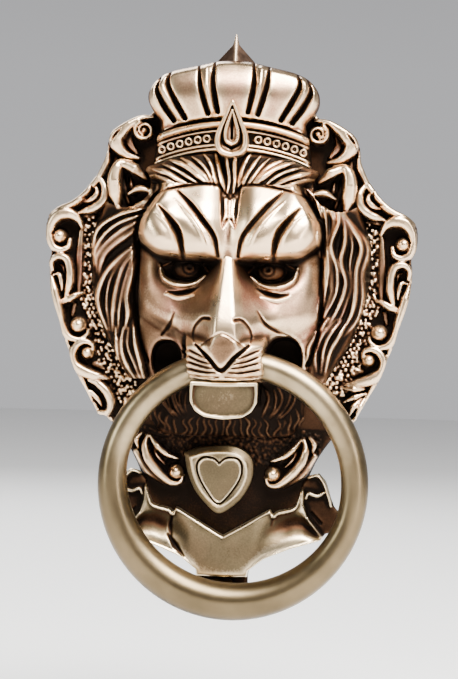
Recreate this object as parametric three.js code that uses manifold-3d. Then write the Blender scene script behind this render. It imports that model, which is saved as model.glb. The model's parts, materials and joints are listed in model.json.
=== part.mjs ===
// A lion-mask door knocker in cast brass, in millimetres.
//
// The part is modelled lying on its back: X to the right, Y up the door and Z out of the door, so
// every Z here is a height above the door's face. The last group stands it up, with +Z up and the
// mask facing -Y. The origin is on the door's face, half way between the two mounting studs.
import * as THREE from "three";
import { mergeVertices } from "three/addons/utils/BufferGeometryUtils.js";
import Module from "manifold-3d";

const wasm = await Module();
wasm.setup();

// ---------------------------------------------------------------- driving dimensions
const GAP = 0.3; // between pieces that touch
const PLATE = 4; // thickness of the backplate
const BORDER = 8.5; // height of the scrolled border
const BORDER_FROM = 0.86; // how far out from the origin to the edge the border begins
const WALL = 4; // wall of the hollow castings
const SEAT = PLATE + GAP; // where the castings on the plate begin
const DOOR = 44; // thickness of the door that the studs are cut for

const PIVOT_Y = -8.6; // the ring turns about a line along X through here
const PIVOT_Z = 22;
const RING_RADIUS = 50; // to the outside
const RING_THIN = 5.05; // radius of the bar at the mouth
const RING_SWELL = 2.15; // how much thicker the bar's radius is at the bottom
const RING_SWELL_AT = -105; // degrees round the ring, 0 at the right
const RING_ASIDE = 3.8; // the ring hangs this far to the right of the middle
const MOUTH_CLEARANCE = 0.7; // round the bar where it turns in the mouth
const MOUTH_HALF = 21; // half the length of the way through the mouth

const STUD_Y = { upper: 58, lower: -58 };
const STUD_RADIUS = 3;
const BOSS_RADIUS = 6.5;
const BOSS_TOP = { upper: 6.5, lower: 6.5 };
const WASHER = { outer: 8, thick: 1.6 };
const NUT = { acrossFlats: 10, height: 5 };
const STUD_PAST_NUT = 4;

const SCREW = { radius: 1.7, head: 3.8, sink: 2.2 };
const POST_RADIUS = 4; // of the posts inside the castings that the screws bite in
const MASK_SCREW = { x: 24, y: 34, post: 20, length: 14 };
const CROWN_SCREW = { x: 0, y: 93, post: 22, length: 11 };
const JAW_SCREW = { x: 0, y: -21.5, length: 16 };
const RIBBON_SCREW = { x: 9, y: -78, length: 8 };

const JAW = { half: 12.4, top: -15.4, bottom: -29.2, back: 30.6, front: 34.4 };
const JAW_SHANK = { half: 8, top: -16.6, bottom: -26.5 };
const STRIKE = { y: -96.5, radius: 5.5, shank: 2.5 };

// ---------------------------------------------------------------- materials
const brass = (color, roughness) => new THREE.MeshStandardMaterial({ color, roughness, metalness: 1 });
const antiqueBrass = brass(0x8f7748, 0.42);
const polishedBrass = brass(0xb9a57a, 0.28);
const zincSteel = new THREE.MeshStandardMaterial({ color: 0x9a9c9e, roughness: 0.4, metalness: 1 });

// ---------------------------------------------------------------- solids
function solidOf(geometry) {
  const loose = geometry.index ? geometry.toNonIndexed() : geometry;
  const bare = new THREE.BufferGeometry().setAttribute("position", loose.getAttribute("position"));
  const merged = mergeVertices(bare, 1e-4);
  const vertProperties = merged.getAttribute("position").array;
  const triVerts = new Uint32Array(merged.index.array);
  return new wasm.Manifold(new wasm.Mesh({ numProp: 3, vertProperties, triVerts }));
}

function geometryOf(solid) {
  const mesh = solid.getMesh();
  const geometry = new THREE.BufferGeometry();
  geometry.setAttribute("position", new THREE.BufferAttribute(mesh.vertProperties, 3));
  geometry.setIndex(new THREE.BufferAttribute(mesh.triVerts, 1));
  geometry.computeVertexNormals();
  return geometry;
}

function rod(x, y, radius, from, to, sides = 20) {
  const cylinder = new THREE.CylinderGeometry(radius, radius, to - from, sides);
  cylinder.rotateX(Math.PI / 2).translate(x, y, (from + to) / 2);
  return solidOf(cylinder);
}

function block(x0, x1, y0, y1, z0, z1) {
  const box = new THREE.BoxGeometry(x1 - x0, y1 - y0, z1 - z0);
  return solidOf(box.translate((x0 + x1) / 2, (y0 + y1) / 2, (z0 + z1) / 2));
}

function slab(outline, from, to) {
  const depth = to - from;
  const extruded = new THREE.ExtrudeGeometry(new THREE.Shape(outline), { depth, bevelEnabled: false });
  return solidOf(extruded.translate(0, 0, from));
}

const vectors = (pairs) => pairs.map(([x, y]) => new THREE.Vector2(x, y));

// A closed outline from its right half, listed from the top down.
function mirrored(half) {
  const left = half.filter(([x]) => x > 0).map(([x, y]) => [-x, y]);
  return vectors([...half, ...left.reverse()]);
}

// Evenly spaced points on a smooth closed curve through the given ones.
function smooth(outline, count) {
  const curve = new THREE.CatmullRomCurve3(outline.map((p) => new THREE.Vector3(p.x, p.y, 0)), true);
  return curve.getSpacedPoints(count).slice(0, count).map((p) => new THREE.Vector2(p.x, p.y));
}

// A casting whose front and back are heights over an outline, on rings drawn in towards a centre.
function relief(outline, centre, rings, front, back) {
  const counterClockwise = THREE.ShapeUtils.area(outline) > 0 ? outline : [...outline].reverse();
  const count = counterClockwise.length;
  const positions = [];
  const triangles = [];
  for (const height of [front, back]) {
    positions.push(centre.x, centre.y, height(centre.x, centre.y, 0));
    for (let ring = 1; ring <= rings; ring++) {
      for (const point of counterClockwise) {
        const { x, y } = centre.clone().lerp(point, ring / rings);
        positions.push(x, y, height(x, y, ring / rings));
      }
    }
  }
  const backStart = 1 + rings * count;
  const at = (start, ring, i) => (ring === 0 ? start : start + 1 + (ring - 1) * count + (i % count));
  for (let i = 0; i < count; i++) {
    for (let ring = 0; ring < rings; ring++) {
      for (const [start, outward] of [[0, true], [backStart, false]]) {
        const [a, b] = [at(start, ring, i), at(start, ring, i + 1)];
        const [c, d] = [at(start, ring + 1, i), at(start, ring + 1, i + 1)];
        triangles.push(...(outward ? [a, c, d] : [a, d, c]));
        if (ring > 0) triangles.push(...(outward ? [a, d, b] : [a, b, d]));
      }
    }
    const [a, b] = [at(0, rings, i), at(0, rings, i + 1)];
    const [c, d] = [at(backStart, rings, i), at(backStart, rings, i + 1)];
    triangles.push(a, c, d, a, d, b);
  }
  const geometry = new THREE.BufferGeometry();
  geometry.setAttribute("position", new THREE.Float32BufferAttribute(positions, 3));
  return solidOf(geometry.setIndex(triangles));
}

// A rounded hill that has fallen by its fall at its radii. A higher power gives a squarer one.
function hill(x, y, { at, radii, top, fall, power = 2 }) {
  return top - fall * (Math.abs((x - at[0]) / radii[0]) ** power + Math.abs((y - at[1]) / radii[1]) ** power);
}

// The highest of several heights, with the valleys between them filled in a little.
function blended(heights) {
  const valley = 1.2;
  return valley * Math.log(heights.reduce((sum, height) => sum + Math.exp(height / valley), 0));
}

// The back of a hollow casting: a wall's thickness behind its front, and solid round its edge.
function hollow(front, rim) {
  return (x, y, ring) => (ring > rim ? SEAT : Math.max(SEAT, front(x, y) - WALL));
}

// ---------------------------------------------------------------- backplate
const plateHalf = [
  [0, 102], [14, 100.5], [26, 97], [31, 91], [31.5, 84], [40, 80.3], [46.5, 76], [48.3, 70],
  [49.5, 64], [51.8, 59.7], [56, 54.5], [60.5, 50.8], [67, 47.5], [69.7, 43.5], [69.7, 37],
  [68.7, 30], [67.7, 20], [66, 12], [62.5, 0], [59.5, -8], [56, -15], [52, -22], [49.5, -28],
  [45, -31], [38.5, -38.5], [34.5, -46], [27, -56], [17, -68], [10.5, -84], [9.5, -97],
  [6, -101.5], [0, -103],
];
const borderVolutes = [[64.2, 37.5, 6.5], [56.8, 4.5, 6], [53.5, -5.5, 5], [34, 78, 6], [51, 54, 5], [17.5, -50.5, 4]];

// The outline moved outwards along each corner's normal.
function grown(outline, distance) {
  const turn = Math.sign(THREE.ShapeUtils.area(outline));
  return outline.map((point, i) => {
    const before = outline[(i + outline.length - 1) % outline.length];
    const along = outline[(i + 1) % outline.length].clone().sub(before).normalize();
    return point.clone().add(new THREE.Vector2(along.y, -along.x).multiplyScalar(distance * turn));
  });
}

function screwHole({ x, y }) {
  const sinkTop = SCREW.sink + GAP;
  const profile = vectors([
    [0, -1], [SCREW.head + GAP, -1], [SCREW.head + GAP, GAP], [SCREW.radius + GAP, sinkTop],
    [SCREW.radius + GAP, PLATE + 2], [0, PLATE + 2],
  ]);
  return solidOf(new THREE.LatheGeometry(profile, 20).rotateX(Math.PI / 2).translate(x, y, 0));
}

function backplate() {
  const outline = mirrored(plateHalf);
  const upper = outline.filter((p) => p.y > -32);
  const inner = upper.map((point) => point.clone().multiplyScalar(BORDER_FROM));
  const border = slab(upper, PLATE - 1, BORDER).subtract(slab(inner, 0, BORDER + 1));
  let plate = slab(outline, 0, PLATE);
  plate = plate.add(border.subtract(block(-36, 36, -40, -14, 0, 20)));
  for (const [x, y, radius] of borderVolutes) {
    for (const side of [-1, 1]) plate = plate.add(rod(side * x, y, radius, PLATE - 1, BORDER + 1, 16));
  }
  // The mask and the crown sit in recesses of their own outlines inside the border.
  for (const casting of [maskOutline(), crownOutline()]) {
    plate = plate.subtract(slab(grown(casting, 2 * GAP), PLATE, 20));
  }
  for (const level of ["upper", "lower"]) {
    plate = plate.add(rod(0, STUD_Y[level], BOSS_RADIUS, PLATE - 1, BOSS_TOP[level]));
    plate = plate.subtract(rod(0, STUD_Y[level], STUD_RADIUS + GAP, -1, BOSS_TOP[level] - 1));
  }
  for (const side of [-1, 1]) {
    plate = plate.subtract(screwHole({ x: side * MASK_SCREW.x, y: MASK_SCREW.y }));
    plate = plate.subtract(screwHole({ x: side * RIBBON_SCREW.x, y: RIBBON_SCREW.y }));
  }
  plate = plate.subtract(screwHole(CROWN_SCREW)).subtract(screwHole(JAW_SCREW));
  return plate.subtract(rod(0, STRIKE.y, STRIKE.shank + GAP, -1, PLATE + 1));
}

// ---------------------------------------------------------------- lion mask
const maskHalf = [
  [0, 70.5], [10, 70], [20, 68], [30, 64.4], [35, 63], [44, 65], [47.5, 58], [49.5, 48], [53, 38], [53.5, 25], [51, 10],
  [45, -1], [38, -11], [30, -18], [19, -30], [9, -37], [0, -38],
];

const MASK_RIM = 7;
const maskHills = [
  { at: [0, 16], radii: [55, 58], top: 16.5, fall: 9, power: 2.5 }, // mane
  { at: [39, 57], radii: [7, 9], top: 14, fall: 8 }, // ears
  { at: [0, 22], radii: [32, 26], top: 22, fall: 8, power: 3 }, // cheeks
  { at: [14, 44], radii: [18, 12], top: 31, fall: 11, power: 2.5 }, // brow
  { at: [0, 16], radii: [7, 26], top: 36, fall: 14 }, // bridge of the nose
  { at: [0, -1], radii: [14.5, 13], top: 38.5, fall: 12, power: 4 }, // muzzle
];

const maskOutline = () => smooth(mirrored(maskHalf), 56);

function maskFront(x, y) {
  return blended([MASK_RIM, ...maskHills.map((each) => hill(Math.abs(x), y, each))]);
}

// The way through the mouth: a bell at each end, which the curved bar fills as it turns.
function mouthWay() {
  const profile = [[0, -MOUTH_HALF]];
  for (let x = -MOUTH_HALF; x <= MOUTH_HALF; x += 3) {
    const middle = RING_RADIUS - RING_THIN;
    const sag = middle - Math.sqrt(middle ** 2 - (x - RING_ASIDE) ** 2);
    profile.push([RING_THIN + sag + MOUTH_CLEARANCE, x]);
  }
  profile.push([0, MOUTH_HALF]);
  const bell = new THREE.LatheGeometry(vectors(profile), 28);
  return solidOf(bell.rotateZ(-Math.PI / 2).translate(0, PIVOT_Y, PIVOT_Z));
}

function lionMask() {
  const centre = new THREE.Vector2(0, 2);
  let mask = relief(maskOutline(), centre, 18, maskFront, hollow(maskFront, 0.95));
  for (const side of [-1, 1]) {
    const { x, y, post, length } = MASK_SCREW;
    mask = mask.add(rod(side * x, y, POST_RADIUS, SEAT, post, 12));
    mask = mask.subtract(rod(side * x, y, SCREW.radius + GAP, 0, length + 1, 12));
  }
  mask = mask.subtract(mouthWay());
  mask = mask.subtract(block(-MOUTH_HALF, MOUTH_HALF, JAW.top - 2, PIVOT_Y + 9, 0, PIVOT_Z));
  const jawRoom = block(-JAW.half - 0.6, JAW.half + 0.6, JAW.bottom - 0.6, JAW.top + 0.4, JAW.back - 14, 60);
  const { half, bottom, top } = JAW_SHANK;
  const shankRoom = block(-half - 0.5, half + 0.5, bottom - 0.5, top + 0.5, 0, 60);
  return mask.subtract(jawRoom).subtract(shankRoom);
}

// ---------------------------------------------------------------- crown, jewel and finial
const crownHalf = [
  [0, 104], [10, 103.3], [20, 101], [27, 98], [31.5, 93], [32.5, 88], [30.5, 84], [28.5, 80],
  [29.5, 74], [30.5, 67], [20, 70.4], [10, 72.2], [0, 72.8],
];
const JEWEL = { y: 79.5, halfWide: 5.6, up: 10, down: 9.5, peg: 1.5, seat: 24.4 };
const FINIAL = { bottom: 104.6, height: 10.6, radius: 7, z: 8.4, pin: 1.5, pinLength: 7 };

const CROWN_RIM = 12;
const crownOutline = () => smooth(mirrored(crownHalf), 40);

function crownFront(x, y) {
  const cap = hill(x, y, { at: [0, 92], radii: [34, 14], top: 24, fall: 6, power: 3 });
  const bandMiddle = 76.5 - (x / 34) ** 2 * 7;
  const band = hill(x, y, { at: [0, bandMiddle], radii: [40, 5], top: 21, fall: 3, power: 4 });
  return blended([CROWN_RIM, cap, band]);
}

function crown() {
  const centre = new THREE.Vector2(0, 87);
  let casting = relief(crownOutline(), centre, 9, crownFront, hollow(crownFront, 0.7));
  casting = casting.add(rod(CROWN_SCREW.x, CROWN_SCREW.y, POST_RADIUS, SEAT, CROWN_SCREW.post, 12));
  const bore = rod(CROWN_SCREW.x, CROWN_SCREW.y, SCREW.radius + GAP, 0, CROWN_SCREW.length + 1, 12);
  const pegHole = rod(0, JEWEL.y, JEWEL.peg + GAP, 10, 30, 12);
  const { pin, z, bottom } = FINIAL;
  const pinHole = new THREE.CylinderGeometry(pin + GAP, pin + GAP, 12, 12).translate(0, bottom - 3, z);
  return casting.subtract(bore).subtract(pegHole).subtract(solidOf(pinHole));
}

function crownJewel() {
  const shape = new THREE.Shape();
  shape.moveTo(0, JEWEL.up);
  shape.bezierCurveTo(2, 4, JEWEL.halfWide, 0, JEWEL.halfWide, -4);
  shape.bezierCurveTo(JEWEL.halfWide, -7.5, 3, -JEWEL.down, 0, -JEWEL.down);
  shape.bezierCurveTo(-3, -JEWEL.down, -JEWEL.halfWide, -7.5, -JEWEL.halfWide, -4);
  shape.bezierCurveTo(-JEWEL.halfWide, 0, -2, 4, 0, JEWEL.up);
  const { seat } = JEWEL;
  const face = new THREE.ExtrudeGeometry(shape, { depth: 3, bevelEnabled: false, curveSegments: 5 });
  return solidOf(face.translate(0, JEWEL.y, seat)).add(rod(0, JEWEL.y, JEWEL.peg, seat - 4, seat + 1, 12));
}

function finial() {
  const { bottom, height, radius, z, pin, pinLength } = FINIAL;
  const spike = new THREE.ConeGeometry(radius, height, 4).translate(0, bottom + height / 2, z);
  const tail = new THREE.CylinderGeometry(pin, pin, pinLength, 12);
  tail.translate(0, bottom + 1 - pinLength / 2, z);
  return solidOf(spike).add(solidOf(tail));
}

// ---------------------------------------------------------------- jaw, shield, ribbon and strike stud
function lowerJaw() {
  const { half, top, bottom, back, front } = JAW;
  const chin = new THREE.Shape();
  const cornerY = bottom + 8;
  chin.moveTo(-half, top);
  chin.lineTo(-half, cornerY);
  chin.bezierCurveTo(-half, bottom + 1.5, -half * 0.6, bottom, 0, bottom);
  chin.bezierCurveTo(half * 0.6, bottom, half, bottom + 1.5, half, cornerY);
  chin.lineTo(half, top);
  const plate = new THREE.ExtrudeGeometry(chin, { depth: front - back, bevelEnabled: false, curveSegments: 6 });
  const shank = block(-JAW_SHANK.half, JAW_SHANK.half, JAW_SHANK.bottom, JAW_SHANK.top, SEAT, back + 1);
  const bore = rod(JAW_SCREW.x, JAW_SCREW.y, SCREW.radius + GAP, 0, JAW_SCREW.length + 1, 12);
  return solidOf(plate.translate(0, 0, back)).add(shank).subtract(bore);
}

const SHIELD_FRONT = 12;
const shieldHalf = [[0, -39.4], [7, -40.2], [12.8, -43.2], [12.9, -49], [10.5, -56], [6, -61.3], [0, -64.6]];

function heartShield() {
  const plate = slab(smooth(mirrored(shieldHalf), 28), SEAT, SHIELD_FRONT);
  return plate.subtract(rod(0, STUD_Y.lower, BOSS_RADIUS + GAP, 0, BOSS_TOP.lower + GAP));
}

const RIBBON_FRONT = 12;
const ribbonHalf = [
  [0, -73.5], [19, -63.5], [27.5, -61.5], [29.5, -56.5], [33, -50], [36, -49.5], [39.5, -53.5],
  [41, -59], [45.5, -66.5], [44.5, -70.5], [38, -71], [36.5, -74], [22, -79.5], [12.5, -84],
  [9.8, -89], [0, -89],
];

function ribbonBanner() {
  let ribbon = slab(mirrored(ribbonHalf), SEAT, RIBBON_FRONT);
  for (const side of [-1, 1]) {
    const { x, y, length } = RIBBON_SCREW;
    ribbon = ribbon.subtract(rod(side * x, y, SCREW.radius + GAP, 0, length + 1, 12));
  }
  return ribbon;
}

function strikeStud() {
  const { y, radius, shank } = STRIKE;
  const top = PIVOT_Z - RING_THIN - RING_SWELL - GAP; // just clear of the hanging ring
  const profile = vectors([
    [0, 0.3], [shank, 0.3], [shank, SEAT], [radius + 1.5, SEAT], [radius + 1.5, PLATE + 2],
    [radius, PLATE + 3], [radius, top - 1.2], [radius - 1.5, top - 0.3], [0, top],
  ]);
  return solidOf(new THREE.LatheGeometry(profile, 24).rotateX(Math.PI / 2).translate(0, y, 0));
}

// ---------------------------------------------------------------- fasteners
// Lathed about the screw's own axis, then turned so that it runs out of the door.
function turned(profile, x, y, sides = 16) {
  return solidOf(new THREE.LatheGeometry(vectors(profile), sides).rotateX(Math.PI / 2).translate(x, y, 0));
}

function countersunkScrew({ x, y, length }) {
  const { radius, head, sink } = SCREW;
  const back = 0.2; // the head lies just below the plate's back
  return turned([[0, back], [head, back], [radius, sink], [radius, length - 1], [radius - 0.8, length], [0, length]], x, y);
}

function mountingStud(level) {
  const end = -(DOOR + WASHER.thick + NUT.height + 3 * GAP + STUD_PAST_NUT);
  const top = BOSS_TOP[level] - 1 - GAP;
  const tip = STUD_RADIUS - 0.7;
  return turned([[0, end], [tip, end], [STUD_RADIUS, end + 0.8], [STUD_RADIUS, top], [0, top]], 0, STUD_Y[level]);
}

function washer(level) {
  const [from, to] = [-DOOR - GAP - WASHER.thick, -DOOR - GAP];
  return rod(0, STUD_Y[level], WASHER.outer, from, to, 28).subtract(
    rod(0, STUD_Y[level], STUD_RADIUS + GAP, from - 1, to + 1),
  );
}

function hexNut(level) {
  const to = -DOOR - 2 * GAP - WASHER.thick;
  const radius = NUT.acrossFlats / Math.sqrt(3);
  return rod(0, STUD_Y[level], radius, to - NUT.height, to, 6).subtract(
    rod(0, STUD_Y[level], STUD_RADIUS + GAP, to - NUT.height - 1, to + 1),
  );
}

// ---------------------------------------------------------------- ring
// A torus whose bar swells towards the bottom while the ring's outside stays a true circle.
function knockerRing() {
  const torus = new THREE.TorusGeometry(RING_RADIUS - RING_THIN, RING_THIN, 14, 56);
  const points = torus.getAttribute("position");
  for (let i = 0; i < points.count; i++) {
    const [x, y, z] = [points.getX(i), points.getY(i), points.getZ(i)];
    const around = Math.atan2(y, x);
    const fromSwell = Math.cos(around - THREE.MathUtils.degToRad(RING_SWELL_AT));
    const bar = RING_THIN + RING_SWELL * Math.max(0, fromSwell) ** 1.2;
    const outward = (Math.hypot(x, y) - (RING_RADIUS - RING_THIN)) * (bar / RING_THIN);
    const reach = RING_RADIUS - bar + outward;
    points.setXYZ(i, reach * Math.cos(around), reach * Math.sin(around), z * (bar / RING_THIN));
  }
  const centreY = PIVOT_Y - (RING_RADIUS - RING_THIN);
  return solidOf(torus.translate(RING_ASIDE, centreY, PIVOT_Z));
}

// ---------------------------------------------------------------- assembly
const knocker = new THREE.Group();
knocker.rotation.x = Math.PI / 2; // stands the part up, mask towards -Y

function place(name, solid, material) {
  const mesh = new THREE.Mesh(geometryOf(solid), material);
  mesh.name = name;
  knocker.add(mesh);
}

place("backplate", backplate(), antiqueBrass);
place("lion_mask", lionMask(), antiqueBrass);
place("crown", crown(), antiqueBrass);
place("crown_jewel", crownJewel(), antiqueBrass);
place("finial", finial(), antiqueBrass);
place("lower_jaw", lowerJaw(), polishedBrass);
place("heart_shield", heartShield(), polishedBrass);
place("ribbon_banner", ribbonBanner(), polishedBrass);
place("strike_stud", strikeStud(), polishedBrass);
place("knocker_ring", knockerRing(), polishedBrass);

for (const level of ["upper", "lower"]) {
  place(`mounting_stud_${level}`, mountingStud(level), zincSteel);
  place(`washer_${level}`, washer(level), zincSteel);
  place(`nut_${level}`, hexNut(level), zincSteel);
}
for (const [side, sign] of [["left", -1], ["right", 1]]) {
  place(`mask_screw_${side}`, countersunkScrew({ ...MASK_SCREW, x: sign * MASK_SCREW.x }), zincSteel);
  place(`ribbon_screw_${side}`, countersunkScrew({ ...RIBBON_SCREW, x: sign * RIBBON_SCREW.x }), zincSteel);
}
place("crown_screw", countersunkScrew(CROWN_SCREW), zincSteel);
place("jaw_screw", countersunkScrew(JAW_SCREW), zincSteel);

const assembly = new THREE.Group();
assembly.add(knocker);
export default assembly;
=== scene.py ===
"""The looks of a cast brass lion-mask door knocker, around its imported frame.

The castings are sculpted as reliefs: a height above the door for every point of a fine grid over its face.
Their sizes here are in millimetres, x to the right, z up the door and height out of it (the frame's -Y).
Coordinates in the tables are pairs of x and z on the door's face.
"""
import json
import math

import bpy
import numpy as np
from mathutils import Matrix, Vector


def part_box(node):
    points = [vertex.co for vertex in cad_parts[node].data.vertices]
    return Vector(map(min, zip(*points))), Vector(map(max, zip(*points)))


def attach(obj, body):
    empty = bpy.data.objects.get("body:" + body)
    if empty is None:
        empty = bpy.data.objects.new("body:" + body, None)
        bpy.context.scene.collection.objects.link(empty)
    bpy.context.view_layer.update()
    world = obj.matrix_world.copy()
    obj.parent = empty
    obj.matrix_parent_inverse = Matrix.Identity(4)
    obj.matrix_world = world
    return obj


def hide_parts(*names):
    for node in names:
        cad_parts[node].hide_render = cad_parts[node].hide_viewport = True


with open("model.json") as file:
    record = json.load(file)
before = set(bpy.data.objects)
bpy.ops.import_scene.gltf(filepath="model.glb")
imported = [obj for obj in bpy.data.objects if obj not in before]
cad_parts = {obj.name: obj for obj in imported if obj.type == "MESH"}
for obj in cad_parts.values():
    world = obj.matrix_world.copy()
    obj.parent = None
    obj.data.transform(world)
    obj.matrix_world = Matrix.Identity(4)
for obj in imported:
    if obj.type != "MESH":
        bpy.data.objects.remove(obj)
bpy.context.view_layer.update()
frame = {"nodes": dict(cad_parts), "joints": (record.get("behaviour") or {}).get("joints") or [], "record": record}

import openvdb

MM = 0.001


def cad_box(node):
    """The CAD node's lowest and highest x, height and z, in millimetres."""
    low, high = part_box(node)
    return (low[0] / MM, -high[1] / MM, low[2] / MM), (high[0] / MM, -low[1] / MM, high[2] / MM)


PLATE_TOP = 4.0  # the flat of the backplate
SEAT = cad_box("crown")[0][1]  # where the castings on the plate begin
RING_LOW, RING_HIGH = cad_box("knocker_ring")
SWING = next(joint for joint in frame["joints"] if joint["name"] == "ring_swing")
PIVOT_HEIGHT, PIVOT_Z = -SWING["pos_m"][1] / MM, SWING["pos_m"][2] / MM
SWING_MOST = math.radians(SWING["range_deg"][1])
RING_OUTER = (RING_HIGH[0] - RING_LOW[0]) / 2
RING_X = (RING_HIGH[0] + RING_LOW[0]) / 2
RING_THIN = RING_HIGH[2] - PIVOT_Z  # the bar's radius where it turns in the mouth
RING_THICK = PIVOT_HEIGHT - RING_LOW[1]  # and at its bottom
RING_MIDDLE = RING_OUTER - RING_THIN


# ---------------------------------------------------------------- heights over the door's face
def smooth_max(a, b, blend):
    """The larger of two heights, with the valley between them filled over about the given millimetres."""
    return 0.5 * (a + b + np.sqrt((a - b) ** 2 + blend**2))


def smooth_min(a, b, blend):
    """The smaller of two heights, with the edge between them rounded."""
    return -smooth_max(-a, -b, blend)


def blur(values, cells):
    """A Gaussian blur, by Fourier transform, with the edge values carried on outside the grid."""
    pad = int(cells * 3) + 1
    padded = np.pad(values, pad, mode="edge")
    across = np.fft.fftfreq(padded.shape[0])[:, None]
    along = np.fft.rfftfreq(padded.shape[1])[None, :]
    weight = np.exp(-2 * (math.pi * cells) ** 2 * (across**2 + along**2))
    done = np.fft.irfft2(np.fft.rfft2(padded) * weight, s=padded.shape)
    return done[pad:-pad, pad:-pad]


def smooth_path(points, pieces=6):
    """Points along a Catmull-Rom curve through the given ones."""
    p = np.array(points, float)
    if len(p) == 2:
        return p
    ends = [2 * p[0] - p[1], *p, 2 * p[-1] - p[-2]]
    out = []
    for a, b, c, d in zip(ends, ends[1:], ends[2:], ends[3:]):
        for t in np.arange(pieces) / pieces:
            out.append(0.5 * (2 * b + (c - a) * t + (2 * a - 5 * b + 4 * c - d) * t**2
                              + (3 * b - a - 3 * c + d) * t**3))
    return np.array([*out, p[-1]])


def on_side(side, points):
    """The points as they are for side 1, and mirrored left to right for side -1."""
    return [(side * x, z) for x, z in points]


def both_halves(right):
    """A closed outline from its right half, which starts and ends on the middle line."""
    return [*map(tuple, right), *[(-x, z) for x, z in right[::-1] if x > 0.01]]


def round_top(u):
    """The section of a ridge, a half ellipse, from its middle at 0 to its foot at 1."""
    return np.sqrt(np.maximum(0, 1 - u**2))


def soft_top(u):
    """A low swell that runs out softly on both sides."""
    return np.maximum(0, 1 - u**2) ** 2


def plump_top(u):
    """A band with a broad top and quickly rounded sides."""
    return np.sqrt(np.maximum(0, 1 - u**4))


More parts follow.
